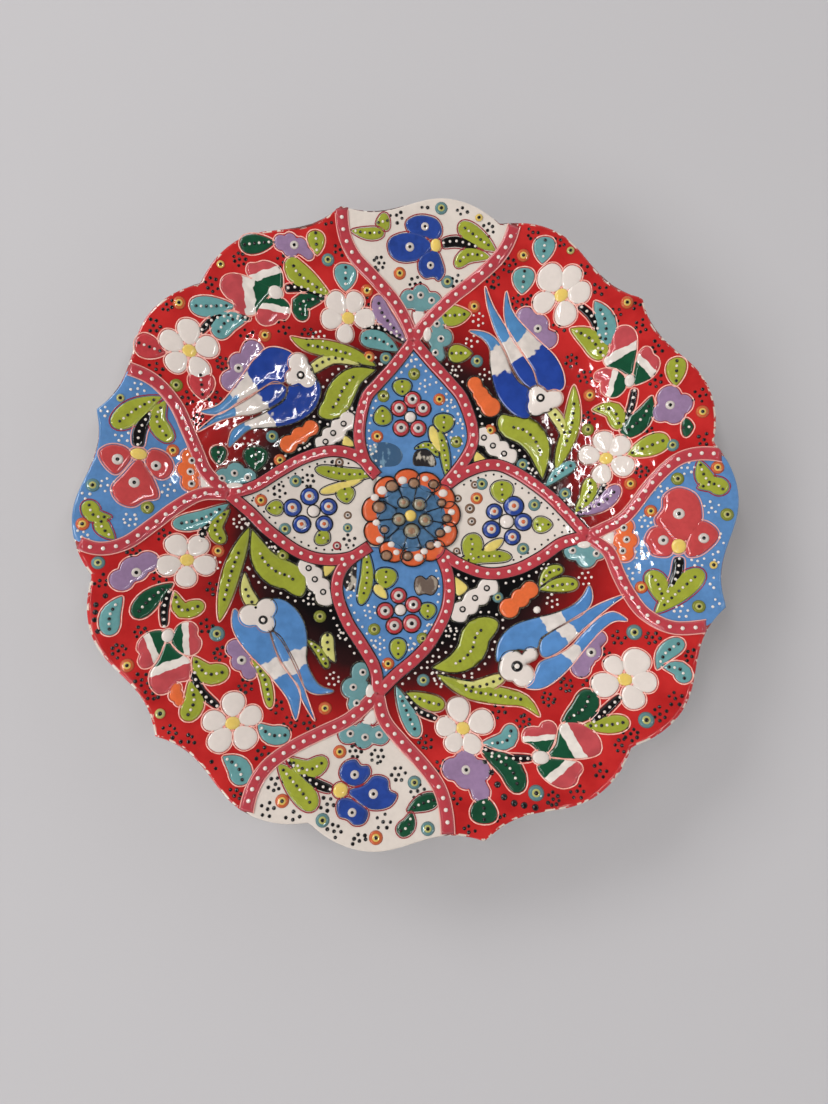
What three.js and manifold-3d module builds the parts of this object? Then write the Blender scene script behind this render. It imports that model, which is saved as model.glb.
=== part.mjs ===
// Hand painted ceramic plate: one fired clay body with a wavy rim and a foot ring, covered by
// panels of coloured glaze, dotted bands between the panels, and raised enamel motifs on top.
// Millimetres, +Z up. The origin is the centre of the plate on the plane that its foot stands on.

import * as THREE from "three";
import { mergeVertices } from "three/addons/utils/BufferGeometryUtils.js";
import Module from "manifold-3d";

const wasm = await Module();
wasm.setup();

// Driving dimensions of the pottery.
const plateRadius = 90; // to the tops of the broad rim lobes
const plateHeight = 28; // foot to painted rim
const bowlDepth = 18.5; // painted floor to painted rim
const floorRadius = 14; // flat middle, before the bowl starts to rise
const clayThickness = 4.6;
const rimEdgeThickness = 3.4;
const footRadius = 45; // middle of the foot ring
const footWidth = 5;
const footRound = 1.2; // rounding of the ring's edges
const footFlare = 2.6; // how far its sides spread where they meet the underside
const lobeDepth = 3.9; // broad lobe down to the valleys beside it
const cuspHeight = 3.1; // pointed cusp above its valleys
const cuspTurn = 42.4; // degrees from +X to the first pointed cusp
const cuspCount = 6;

// Driving dimensions of the coats.
const glazeThickness = 0.6;
const enamelThickness = 0.6;
const bandWidth = 3.6;
const coatGap = 0.3; // between the clay and a coat, and between a coat and the enamel on it
const seam = 0.35; // beside a coat, to the next one
const bareEdge = 1.2; // unpainted edge of the rim
const medallionRadius = 14.4;

// Sizes of the motifs, drawn for a plate of this radius and scaled with the plate.
const drawnRadius = 90;
const whiteFlowerRadius = 7.8;
const tricolourFlowerRadius = 8.6;
const panelFlowerRadius = 8.6;
const rosetteRadius = 7.6;
const smallLeafWidth = 5;
const broadLeafWidth = 8.6;

const design = plateRadius / drawnRadius;
const coatStack = 2 * coatGap + glazeThickness + enamelThickness;
const stepsPerCusp = 12;
const turns = stepsPerCusp * cuspCount;
const waveStart = 0.7 * plateRadius; // inside this radius the plate is perfectly round

// ---------------------------------------------------------------- the shape of the plate

// Height of the painted face above the foot plane at a radius. It rises from the flat floor,
// is steepest about half way, and eases off towards the rim.
function faceHeight(radius) {
  const t = Math.max(0, (radius - floorRadius) / (plateRadius - floorRadius));
  const rise = 2.127 * t ** 2 - 0.854 * t ** 3 - 0.273 * t ** 4;
  return plateHeight - bowlDepth + bowlDepth * rise;
}

// Radius of the rim at an angle: pointed cusps, each with a valley, a broad lobe, a notch
// and a second lobe before the next cusp.
function rimRadius(angle) {
  const sector = 360 / cuspCount;
  const half = sector / 2;
  const turned = (((angle - cuspTurn) % sector) + sector) % sector;
  const away = Math.min(turned, sector - turned) / half;
  const valleyAt = 0.22;
  const lobeAt = 0.66;
  const valley = plateRadius - lobeDepth;
  if (away < valleyAt) {
    return valley + cuspHeight * (1 - away / valleyAt) ** 2;
  }
  if (away < lobeAt) {
    const share = (away - valleyAt) / (lobeAt - valleyAt);
    return valley + (lobeDepth * (1 - Math.cos(Math.PI * share))) / 2;
  }
  return plateRadius - lobeDepth * ((away - lobeAt) / (1 - lobeAt)) ** 2;
}

// Turn a closed profile of [radius, height] points about the axis, then push the outer part
// in and out so that its edge follows the wavy rim.
function turnedWavy(profile) {
  const points = profile.map(([radius, height]) => new THREE.Vector2(radius, height));
  const geometry = new THREE.LatheGeometry(points, turns);
  geometry.rotateX(Math.PI / 2);
  geometry.rotateZ((cuspTurn * Math.PI) / 180);
  const place = geometry.attributes.position;
  for (let i = 0; i < place.count; i += 1) {
    const x = place.getX(i);
    const y = place.getY(i);
    const radius = Math.hypot(x, y);
    if (radius > waveStart) {
      const rim = rimRadius((Math.atan2(y, x) * 180) / Math.PI);
      const stretch = (rim - waveStart) / (plateRadius - waveStart);
      const moved = waveStart + (radius - waveStart) * stretch;
      place.setXY(i, (x * moved) / radius, (y * moved) / radius);
    }
  }
  return geometry;
}

// Radii where the face is sampled, from the outside in.
function faceRadii(outer) {
  const radii = [outer];
  const steps = 6;
  for (let i = steps - 1; i > 0; i -= 1) {
    radii.push(floorRadius + ((outer - floorRadius) * i) / steps);
  }
  radii.push(floorRadius);
  return radii;
}

// Closed profile of a coat: its underside is `below` under the painted face and its top
// `above` that underside.
function coatProfile(below, thickness) {
  const outer = plateRadius - bareEdge;
  const radii = faceRadii(outer);
  const under = [...radii, 0].map((radius) => [radius, faceHeight(radius) - below]);
  const top = [...radii, 0].map((radius) => [radius, faceHeight(radius) - below + thickness]);
  return [...under.reverse(), ...top];
}

// ---------------------------------------------------------------- solids

function toSolid(geometry) {
  const bare = geometry.clone();
  bare.deleteAttribute("normal");
  bare.deleteAttribute("uv");
  const merged = mergeVertices(bare, 1e-4);
  const triangles = [];
  const index = merged.index.array;
  for (let i = 0; i < index.length; i += 3) {
    const [a, b, c] = [index[i], index[i + 1], index[i + 2]];
    if (a !== b && b !== c && c !== a) {
      triangles.push(a, b, c);
    }
  }
  return new wasm.Manifold(
    new wasm.Mesh({
      numProp: 3,
      vertProperties: new Float32Array(merged.attributes.position.array),
      triVerts: new Uint32Array(triangles),
    }),
  );
}

function toGeometry(solid) {
  const mesh = solid.getMesh();
  const geometry = new THREE.BufferGeometry();
  const places = [];
  for (let i = 0; i < mesh.numVert; i += 1) {
    const start = i * mesh.numProp;
    places.push(...mesh.vertProperties.slice(start, start + 3));
  }
  geometry.setAttribute("position", new THREE.Float32BufferAttribute(places, 3));
  geometry.setIndex(Array.from(mesh.triVerts));
  geometry.computeVertexNormals();
  return geometry;
}

// Upright block with the given outline, taller than the plate.
function block(outline) {
  const depth = plateHeight * 2;
  const shape = new THREE.Shape(outline);
  const geometry = new THREE.ExtrudeGeometry(shape, { depth, bevelEnabled: false });
  geometry.translate(0, 0, -depth / 4);
  return toSolid(geometry);
}

const plate = new THREE.Group();

function addPiece(name, solid, colour, roughness) {
  const material = new THREE.MeshStandardMaterial({ color: colour, roughness, metalness: 0 });
  const piece = new THREE.Mesh(toGeometry(solid), material);
  piece.name = name;
  plate.add(piece);
}

// ---------------------------------------------------------------- outlines

const at = ([x, y]) => new THREE.Vector2(x * design, y * design);

// Smooth line through a few places.
function smoothLine(places, steps) {
  return new THREE.SplineCurve(places.map(at)).getPoints(steps);
}

// Smooth closed outline through a few places.
function smoothOutline(places, steps) {
  const flat = places.map(at).map((p) => new THREE.Vector3(p.x, p.y, 0));
  const curve = new THREE.CatmullRomCurve3(flat, true, "centripetal");
  const points = curve.getPoints(steps).slice(0, -1);
  return points.map((p) => new THREE.Vector2(p.x, p.y));
}

// The outline moved outwards by a distance, or inwards when it is negative.
function grow(outline, distance) {
  const way = THREE.ShapeUtils.area(outline) > 0 ? 1 : -1;
  return outline.map((point, i) => {
    const before = outline[(i + outline.length - 1) % outline.length];
    const after = outline[(i + 1) % outline.length];
    const inward = point.clone().sub(before).normalize();
    const onward = after.clone().sub(point).normalize();
    const side = new THREE.Vector2(inward.y + onward.y, -inward.x - onward.x).normalize();
    const lean = Math.max(0.25, side.x * onward.y - side.y * onward.x);
    return point.clone().addScaledVector(side, (way * distance) / lean);
  });
}

function ring(centre, radius, steps) {
  const points = [];
  for (let i = 0; i < steps; i += 1) {
    const angle = (2 * Math.PI * i) / steps;
    const spoke = new THREE.Vector2(Math.cos(angle), Math.sin(angle));
    points.push(spoke.multiplyScalar(radius).add(centre));
  }
  return points;
}

// Flower of round petals. `waist` is how far in the clefts between the petals reach.
function flower(centre, radius, petals, turn, waist) {
  const points = [];
  const steps = petals * 5;
  for (let i = 0; i < steps; i += 1) {
    const angle = (2 * Math.PI * i) / steps;
    const bulge = Math.abs(Math.cos((petals * angle) / 2));
    const reach = radius * design * (waist + (1 - waist) * bulge ** 0.7);
    const turned = angle + (turn * Math.PI) / 180;
    const spoke = new THREE.Vector2(Math.cos(turned), Math.sin(turned));
    points.push(spoke.multiplyScalar(reach).add(at(centre)));
  }
  return points;
}

// Pointed leaf along a bent middle line.
function leaf([start, middle, end], width) {
  const steps = 8;
  const spine = smoothLine([start, middle, end], steps);
  const left = [];
  const right = [];
  for (let i = 1; i < steps; i += 1) {
    const along = spine[i + 1].clone().sub(spine[i - 1]).normalize();
    const half = (width * design * Math.sin((Math.PI * i) / steps) ** 0.8) / 2;
    left.push(new THREE.Vector2(spine[i].x - along.y * half, spine[i].y + along.x * half));
    right.unshift(new THREE.Vector2(spine[i].x + along.y * half, spine[i].y - along.x * half));
  }
  return [spine[0], ...left, spine[steps], ...right];
}

// ---------------------------------------------------------------- clay body

const underside = (radius) => faceHeight(radius) - coatStack - clayThickness;
const footOuter = footRadius + footWidth / 2;
const footInner = footRadius - footWidth / 2;
const rimTop = faceHeight(plateRadius) - coatStack;

const clayProfile = [
  [0, underside(0)],
  [footInner * 0.5, underside(footInner * 0.5)],
  [footInner * 0.75, underside(footInner * 0.75)],
  [footInner - footFlare, underside(footInner - footFlare)],
  [footInner - footRound, footRound],
  [footInner, 0],
  [footOuter, 0],
  [footOuter + footRound, footRound],
  [footOuter + footFlare, underside(footOuter + footFlare)],
];
for (let i = 1; i < 5; i += 1) {
  const radius = footOuter + footFlare + ((plateRadius - 3 - footOuter - footFlare) * i) / 5;
  clayProfile.push([radius, underside(radius)]);
}
clayProfile.push(
  [plateRadius - 2.2, rimTop - rimEdgeThickness - 0.4],
  [plateRadius - 0.5, rimTop - rimEdgeThickness * 0.7],
  [plateRadius, rimTop - rimEdgeThickness * 0.35],
  [plateRadius - 0.4, rimTop],
);
for (const radius of [...faceRadii(plateRadius - bareEdge), 0]) {
  clayProfile.push([radius, faceHeight(radius) - coatStack]);
}
addPiece("clay_body", toSolid(turnedWavy(clayProfile)), 0xd9cdb8, 0.45);

// ---------------------------------------------------------------- layout of the bands

// Middle line of each petal band, from the medallion up one side to the tip and back down.
const petalLines = {
  top: [
    [-3, 8], [-13, 20], [-13.9, 30], [-8.7, 40], [1.5, 51.3], [12.5, 40],
    [18.5, 30], [18, 20], [7, 8],
  ],
  right: [
    [7, 8], [20, 14.8], [30, 13.8], [40, 7], [49.8, -5.5], [40, -10.2],
    [30, -15.2], [20, -15], [7, -8],
  ],
  bottom: [
    [7, -8], [11.2, -20], [10, -30], [1.5, -40.5], [-8, -48], [-11.5, -40],
    [-17.3, -30], [-20, -20], [-9, -8],
  ],
  left: [
    [-9, -7], [-20, -12], [-30, -10.7], [-40, -3.7], [-49.3, 6.2], [-40, 11.7],
    [-30, 17.7], [-20, 19.7], [-7, 10],
  ],
};

// Middle line of each rim band, from past the rim in to the tip and out again.
const rimLines = {
  top: [
    [-18, 96], [-18.8, 82], [-16.8, 76], [-10, 69.5], [-1.8, 61.2], [1.7, 55.4],
    [8.3, 60.5], [16.3, 66.7], [25.5, 73.5], [29.5, 79.5], [32, 96],
  ],
  right: [
    [98, 12.5], [79, 15.7], [71.8, 12.5], [66.5, 6.5], [60.5, -0.7], [54, -5.8],
    [57, -10.5], [59.3, -18], [65, -28.3], [72, -32.3], [94, -31],
  ],
  bottom: [
    [9.5, -98], [9.4, -80], [6.5, -72.5], [-1.5, -63], [-7, -56.3], [-9.4, -52.4],
    [-18, -56.5], [-28, -61.7], [-37.5, -68], [-41, -75], [-43, -96],
  ],
  left: [
    [-98, -7], [-83.5, -10.8], [-75, -7.7], [-66.2, 0.8], [-59.8, 5.6], [-53.8, 7.2],
    [-57.5, 13], [-61, 21], [-65.5, 31.3], [-71.5, 37], [-96, 40],
  ],
};
const sides = ["top", "right", "bottom", "left"];

// The two ribbons of a band, each a smooth line that ends at the tip. The tip is the place in
// the middle of the list.
function twoRibbons(places, steps) {
  const middle = (places.length - 1) / 2;
  return [smoothLine(places.slice(0, middle + 1), steps), smoothLine(places.slice(middle), steps)];
}

// Flat strip along a line, as a closed outline.
function strip(line, half) {
  const left = [];
  const right = [];
  line.forEach((point, i) => {
    const before = line[Math.max(0, i - 1)];
    const after = line[Math.min(line.length - 1, i + 1)];
    const along = after.clone().sub(before).normalize();
    left.push(new THREE.Vector2(point.x - along.y * half, point.y + along.x * half));
    right.unshift(new THREE.Vector2(point.x + along.y * half, point.y - along.x * half));
  });
  return [...left, ...right];
}

// Both ribbons of a band at a given half width, joined by a round at the tip.
function bandBlock([out, back], half) {
  const tip = block(ring(back[0], half, 12));
  return block(strip(out, half)).add(block(strip(back, half))).add(tip);
}

const largest = (solid) => solid.decompose().sort((a, b) => b.volume() - a.volume())[0];

const glazeCoat = toSolid(turnedWavy(coatProfile(coatStack - coatGap, glazeThickness)));
const bandCoat = toSolid(turnedWavy(coatProfile(coatStack - coatGap, coatStack - coatGap)));
const enamelCoat = toSolid(turnedWavy(coatProfile(enamelThickness, enamelThickness)));

const medallionCentre = at([0.8, 0.4]);
const medallion = block(ring(medallionCentre, medallionRadius * design, 32));
const medallionClear = block(ring(medallionCentre, medallionRadius * design + seam, 32));

const petalRibbons = {};
const rimRibbons = {};
for (const side of sides) {
  petalRibbons[side] = twoRibbons(petalLines[side], 8);
  rimRibbons[side] = twoRibbons(rimLines[side], 9);
}

// Wedge from the middle out to past the rim, between two directions in degrees.
function wedge(from, to, inset) {
  const far = plateRadius * 3;
  const points = [new THREE.Vector2(0, 0)];
  const steps = 4;
  for (let i = 0; i <= steps; i += 1) {
    const angle = ((from + ((to - from) * i) / steps) * Math.PI) / 180;
    points.push(new THREE.Vector2(Math.cos(angle), Math.sin(angle)).multiplyScalar(far));
  }
  return block(grow(points, -inset));
}

// Directions of the four tips, and of the lines where neighbouring petals meet.
const tipTurn = { right: -6, top: 88, left: 172.5, bottom: 259.5 };
const meetTurn = { right: [-47, 42], top: [42, 131], left: [131, 216], bottom: [216, 313] };

const bandHalf = bandWidth / 2;
const petalWedge = {};
for (const side of sides) {
  petalWedge[side] = wedge(...meetTurn[side], seam / 2);
}
const bandBlocks = [];
const claimed = [medallionClear];
for (const side of sides) {
  const petalInside = block([...petalRibbons[side][0], ...petalRibbons[side][1].slice(1)]);
  const petalBand = bandBlock(petalRibbons[side], bandHalf);
  const petalBandClear = bandBlock(petalRibbons[side], bandHalf + seam);
  const rimInside = block([...rimRibbons[side][0], ...rimRibbons[side][1].slice(1)]);
  const rimBand = bandBlock(rimRibbons[side], bandHalf);
  const rimBandClear = bandBlock(rimRibbons[side], bandHalf + seam);
  const petalClear = petalInside.add(petalBandClear);
  const band = petalBand.intersect(petalWedge[side]).subtract(medallionClear);
  const panel = petalInside.subtract(petalBandClear).intersect(petalWedge[side]);
  const rimPanel = rimInside.subtract(rimBandClear).intersect(glazeCoat);
  const blueSide = { petal: ["top", "bottom"], rim: ["left", "right"] };
  const petalColour = blueSide.petal.includes(side) ? 0x4a86c0 : 0xd8d0c2;
  const rimColour = blueSide.rim.includes(side) ? 0x4a86c0 : 0xd8d0c2;
  const petalPanel = panel.subtract(medallionClear).intersect(glazeCoat);
  const rimBandPiece = rimBand.subtract(petalClear).intersect(bandCoat);
  addPiece(`petal_panel_${side}`, largest(petalPanel), petalColour, 0.2);
  addPiece(`petal_band_${side}`, largest(band.intersect(bandCoat)), 0xbe4450, 0.25);
  addPiece(`rim_panel_${side}`, largest(rimPanel), rimColour, 0.2);
  addPiece(`rim_band_${side}`, largest(rimBandPiece), 0xbe4450, 0.25);
  bandBlocks.push(petalBandClear, rimBandClear);
  claimed.push(petalClear, rimInside.add(rimBandClear));
}
addPiece("medallion", medallion.intersect(bandCoat), 0xd9703c, 0.25);

// ---------------------------------------------------------------- red and black corners

const corners = {
  upper_right: ["right", "top"],
  upper_left: ["top", "left"],
  lower_left: ["left", "bottom"],
  lower_right: ["bottom", "right"],
};
const openGlaze = glazeCoat.subtract(wasm.Manifold.union(claimed));
for (const [corner, [from, to]] of Object.entries(corners)) {
  const start = tipTurn[from];
  const end = tipTurn[to] > start ? tipTurn[to] : tipTurn[to] + 360;
  const field = openGlaze.intersect(wedge(start, end, seam / 2));
  addPiece(`corner_glaze_${corner}`, largest(field), 0xb51f22, 0.2);
}

// ---------------------------------------------------------------- raised enamel motifs

// Lay a motif on the glaze. It keeps clear of the bands, the medallion and the motifs
// laid before it.
const laid = [];
const kept = wasm.Manifold.union([...bandBlocks, medallionClear]);
const overlaps = (a, b) => {
  const [p, q] = [a.boundingBox(), b.boundingBox()];
  return p.min[0] < q.max[0] && q.min[0] < p.max[0] && p.min[1] < q.max[1] && q.min[1] < p.max[1];
};
function lay(name, outline, colour) {
  let solid = block(outline).intersect(enamelCoat).subtract(kept);
  for (const other of laid) {
    if (overlaps(solid, other)) {
      solid = solid.subtract(other);
    }
  }
  addPiece(name, largest(solid), colour, 0.22);
  laid.push(block(grow(outline, seam)));
}

const whiteFlowers = {
  upper_left_outer: [-61.5, 46.3, 18],
  upper_left_inner: [-17.8, 59, 18],
  upper_right_outer: [43, 63.5, 30],
  upper_right_inner: [57, 17.3, 20],
  lower_left_outer: [-61.7, -12.3, 50],
  lower_left_inner: [-47, -56.5, 20],
  lower_right_outer: [58, -45.5, 10],
  lower_right_inner: [14, -59, 90],
};
for (const [place, [x, y, turn]] of Object.entries(whiteFlowers)) {
  lay(`white_flower_${place}`, flower([x, y], whiteFlowerRadius, 5, turn, 0.55), 0xe2dacd);
}

const tricolourFlowers = {
  upper_left: [-40.5, 63.5, 100],
  upper_right: [61.5, 41.5, 40],
  lower_left: [-63.5, -36.5, 15],
  lower_right: [39, -64.5, 60],
};
for (const [corner, [x, y, turn]] of Object.entries(tricolourFlowers)) {
  lay(`tricolour_flower_${corner}`, flower([x, y], tricolourFlowerRadius, 3, turn, 0.5), 0x1f5a3c);
}

const tulips = {
  upper_left: [
    [-26, 40], [-30, 47], [-40, 49], [-49, 41], [-58, 29], [-59, 24],
    [-48, 24], [-36, 27.5], [-27, 31],
  ],
  upper_right: [
    [33, 30], [25, 39], [24, 49], [18.5, 55], [22.5, 65.5], [29, 64],
    [37, 56], [44, 50], [45, 41], [43, 33],
  ],
  lower_left: [
    [-42, -22.5], [-32, -24], [-28.5, -31], [-27, -40], [-24, -50], [-29, -56],
    [-38, -47], [-46, -37], [-49, -29],
  ],
  lower_right: [
    [25, -42], [30, -32], [40, -29], [50, -21], [59, -25], [56, -31],
    [48, -39], [42, -46], [32, -48],
  ],
};
for (const [corner, places] of Object.entries(tulips)) {
  const colour = corner.startsWith("upper") ? 0x2546a8 : 0x4f8fd0;
  lay(`tulip_${corner}`, smoothOutline(places, 26), colour);
}

const broadLeaves = {
  upper_left: [[-9, 43], [-18.5, 38.5], [-26, 30]],
  upper_right: [[39, 11], [36, 21.5], [27.5, 30.5]],
  lower_left: [[-44.5, -3], [-38.5, -15], [-30, -23.5]],
  lower_right: [[6.5, -42.5], [16.5, -38], [25, -30]],
};
const slimLeaves = {
  upper_left: [[-9, 45], [-20, 50.5], [-33, 52]],
  upper_right: [[43, 15], [47.5, 26], [48.5, 37]],
  lower_left: [[-46, -5], [-50, -18], [-52.5, -29]],
  lower_right: [[8, -44.5], [21, -50], [35, -53.5]],
};
for (const corner of Object.keys(corners)) {
  lay(`broad_leaf_${corner}`, leaf(broadLeaves[corner], broadLeafWidth), 0xa0ac34);
  lay(`slim_leaf_${corner}`, leaf(slimLeaves[corner], smallLeafWidth), 0xa0ac34);
}

const panelFlowers = {
  top: [[1.5, 77.5, 100], 0x2546a8],
  right: [[73.5, -3.5, 90], 0xb2383f],
  bottom: [[-13.5, -74, 0], 0x2546a8],
  left: [[-75, 9, 270], 0xb2383f],
};
const rosettes = {
  top: [[0.5, 30.5, 90], 0xb2383f],
  right: [[28.5, -0.8, 70], 0x2546a8],
  bottom: [[-2, -26.3, 100], 0xb2383f],
  left: [[-28, 2, 80], 0x2546a8],
};
for (const side of sides) {
  const [[flowerX, flowerY, flowerTurn], flowerColour] = panelFlowers[side];
  const petals = flower([flowerX, flowerY], panelFlowerRadius, 3, flowerTurn, 0.5);
  lay(`panel_flower_${side}`, petals, flowerColour);
  const [[x, y, turn], colour] = rosettes[side];
  lay(`rosette_${side}`, flower([x, y], rosetteRadius, 5, turn, 0.6), colour);
}

export default plate;
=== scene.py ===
import math

import bpy
import numpy as np
from mathutils import Matrix, Vector
from mathutils.geometry import delaunay_2d_cdt


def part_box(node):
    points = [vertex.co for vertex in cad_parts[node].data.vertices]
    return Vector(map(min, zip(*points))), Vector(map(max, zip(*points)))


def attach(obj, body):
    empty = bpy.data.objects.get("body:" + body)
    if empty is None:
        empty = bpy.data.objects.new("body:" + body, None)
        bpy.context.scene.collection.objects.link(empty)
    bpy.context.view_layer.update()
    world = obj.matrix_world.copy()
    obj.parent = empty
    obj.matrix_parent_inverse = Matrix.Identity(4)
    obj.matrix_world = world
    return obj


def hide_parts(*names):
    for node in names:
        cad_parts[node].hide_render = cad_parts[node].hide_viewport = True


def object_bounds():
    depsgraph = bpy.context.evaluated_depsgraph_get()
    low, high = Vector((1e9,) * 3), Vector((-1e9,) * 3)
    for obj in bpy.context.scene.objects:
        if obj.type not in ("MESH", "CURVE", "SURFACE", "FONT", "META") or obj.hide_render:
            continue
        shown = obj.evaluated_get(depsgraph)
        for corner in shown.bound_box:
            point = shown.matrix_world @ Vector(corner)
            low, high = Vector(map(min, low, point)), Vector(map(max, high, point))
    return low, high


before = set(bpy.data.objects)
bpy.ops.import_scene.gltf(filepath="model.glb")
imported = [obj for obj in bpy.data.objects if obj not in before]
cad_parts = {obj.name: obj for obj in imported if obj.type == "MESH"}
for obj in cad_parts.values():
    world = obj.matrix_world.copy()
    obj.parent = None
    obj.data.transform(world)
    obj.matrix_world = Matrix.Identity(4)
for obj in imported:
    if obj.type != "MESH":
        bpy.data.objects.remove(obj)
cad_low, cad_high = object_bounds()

# ---------------------------------------------------------------- camera
# The camera stands 42 mm towards the front of the plate and looks almost straight down on it.
# Its height is measured from the top of the enamel.
camera_data = bpy.data.cameras.new("overhead_camera")
camera_data.sensor_width = 36
camera_data.lens = 27.07
camera = bpy.data.objects.new("overhead_camera", camera_data)
bpy.context.scene.collection.objects.link(camera)
camera_stand = Vector((-0.0046, -0.0421, cad_high.z + 0.2192))
camera_tilt = Matrix.Rotation(math.radians(7.76), 3, "X") @ Matrix.Rotation(math.radians(-1.5), 3, "Y")
camera.matrix_world = Matrix.Translation(camera_stand) @ camera_tilt.to_4x4()
bpy.context.scene.camera = camera

# ---------------------------------------------------------------- clay body
# One pressed and fired quartz-clay bowl with a wavy cusped rim. Its back is dipped in a clear
# glaze, and the foot ring is wiped bare before firing so that it doesn't stick to the shelf.
# Sizes are in millimetres. The enamel stands a little above the CAD's coats.
MM = 0.001
clay_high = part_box("clay_body")[1]
enamel_rise = 0.2
cusp_count = 6
cusp_turn = math.radians(42.4)
lobe_turn = math.radians(2.4)
plate_radius = clay_high.x / math.cos(lobe_turn) / MM
plate_height = cad_high.z / MM + enamel_rise
bowl_depth = 18.5
floor_radius = 14
lobe_depth = 3.9
cusp_height = 3.1
wave_start = 0.7 * plate_radius
wall = 4.6
coat_lift = 0.3
rim_half_thickness = 1.9
rim_rounding = 1.5


def rim_radius(angle):
    """Radius of the rim at an angle: pointed cusps with two broad lobes between them."""
    sector = 2 * math.pi / cusp_count
    turned = np.mod(angle - cusp_turn, sector)
    away = np.minimum(turned, sector - turned) / (sector / 2)
    valley_at, lobe_at = 0.22, 0.66
    valley = plate_radius - lobe_depth
    cusp = valley + cusp_height * (1 - np.minimum(away / valley_at, 1)) ** 2
    share = np.clip((away - valley_at) / (lobe_at - valley_at), 0, 1)
    rise = valley + lobe_depth * (1 - np.cos(np.pi * share)) / 2
    fall = plate_radius - lobe_depth * (np.clip((away - lobe_at) / (1 - lobe_at), 0, 1)) ** 2
    return np.where(away < valley_at, cusp, np.where(away < lobe_at, rise, fall))


def bowl_rise(share):
    """Height of the face at a share of the way from the bowl's flat middle to its rim. The
    section leaves the middle level, is steepest half way, and flattens a little at the rim."""
    curve = 2.127 * share**2 - 0.854 * share**3 - 0.273 * share**4
    return plate_height - bowl_depth + bowl_depth * curve


def face_height(x, y):
    """Height of the painted face at a place on the plan, in millimetres."""
    radius = np.hypot(x, y)
    stretch = (plate_radius - wave_start) / (rim_radius(np.arctan2(y, x)) - wave_start)
    flat = np.where(radius > wave_start, wave_start + (radius - wave_start) * stretch, radius)
    return bowl_rise(np.clip((flat - floor_radius) / (plate_radius - floor_radius), 0, 1.05))


class Wire:
    """A socket in a material. Arithmetic on it adds Math nodes, and node() adds any other."""

    def __init__(self, tree, socket=None):
        self.tree = tree
        self.socket = socket

    def node(self, kind, sockets, output=0, **settings):
        """Adds a node whose inputs are plain values or other wires, and returns one output."""
        made = self.tree.nodes.new(kind)
        for name, value in settings.items():
            setattr(made, name, value)
        for name, value in sockets.items():
            if isinstance(value, Wire):
                self.tree.links.new(value.socket, made.inputs[name])
            else:
                made.inputs[name].default_value = value
        return Wire(self.tree, made.outputs[output] if len(made.outputs) else None)

    def maths(self, operation, first, second):
        return self.node("ShaderNodeMath", {0: first, 1: second}, operation=operation)

    def __add__(self, other):
        return self.maths("ADD", self, other)

    def __sub__(self, other):
        return self.maths("SUBTRACT", self, other)

    def __rsub__(self, other):
        return self.maths("SUBTRACT", other, self)

    def __mul__(self, other):
        return self.maths("MULTIPLY", self, other)

    def step(self, start, end):
        """0 below start, 1 above end, and smooth between them."""
        sockets = {"Value": self, "From Min": start, "From Max": end}
        return self.node("ShaderNodeMapRange", sockets, interpolation_type="SMOOTHSTEP")

    def noise(self, scale, detail=3.0, stretch=(1, 1, 1)):
        """Soft noise over the piece's own coordinates, from 0 to 1. Scale is per metre."""
        place = self.node("ShaderNodeTexCoord", {}, "Object")
        laid = self.node("ShaderNodeMapping", {"Vector": place, "Scale": stretch})
        sockets = {"Vector": laid, "Scale": scale, "Detail": detail}
        return self.node("ShaderNodeTexNoise", sockets, "Fac")

    def blend(self, factor, first, second):
        """Colour between first and second."""
        sockets = {0: factor, 6: first, 7: second}
        return self.node("ShaderNodeMix", sockets, 2, data_type="RGBA")


def colour(red, green, blue):
    """A paint colour on a 0 to 255 scale, as the renderer's linear light."""
    def linear(level):
        level /= 255
        return level / 12.92 if level <= 0.04045 else ((level + 0.055) / 1.055) ** 2.4
    return (linear(red), linear(green), linear(blue), 1.0)


def shade(tint, amount):
    """The same colour, darker or lighter."""
    return tuple(min(1.0, part * amount) for part in tint[:3]) + (1.0,)


def new_material(name):
    """An empty material and a wire to build it with."""
    made = bpy.data.materials.new(name)
    made.use_nodes = True
    made.node_tree.nodes.clear()
    return made, Wire(made.node_tree)


def finish_material(wire, base, roughness, height, depth):
    """Puts a colour, a roughness and a relief of some depth in metres on a ceramic surface."""
    bump = wire.node("ShaderNodeBump", {"Height": height, "Strength": 1.0, "Distance": depth})
    sockets = {"Base Color": base, "Roughness": roughness, "Normal": bump}
    surface = wire.node("ShaderNodeBsdfPrincipled", sockets)
    wire.node("ShaderNodeOutputMaterial", {"Surface": surface})


def attribute(wire, name):
    """A number that the mesh carries at its points."""
    return wire.node("ShaderNodeAttribute", {}, "Fac", attribute_name=name)


def mixed(wire, scale, first, second, start=0.35, end=0.65):
    """Two tints of one finish that run into each other in soft clouds."""
    return wire.blend(wire.noise(scale).step(start, end), first, second)


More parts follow.
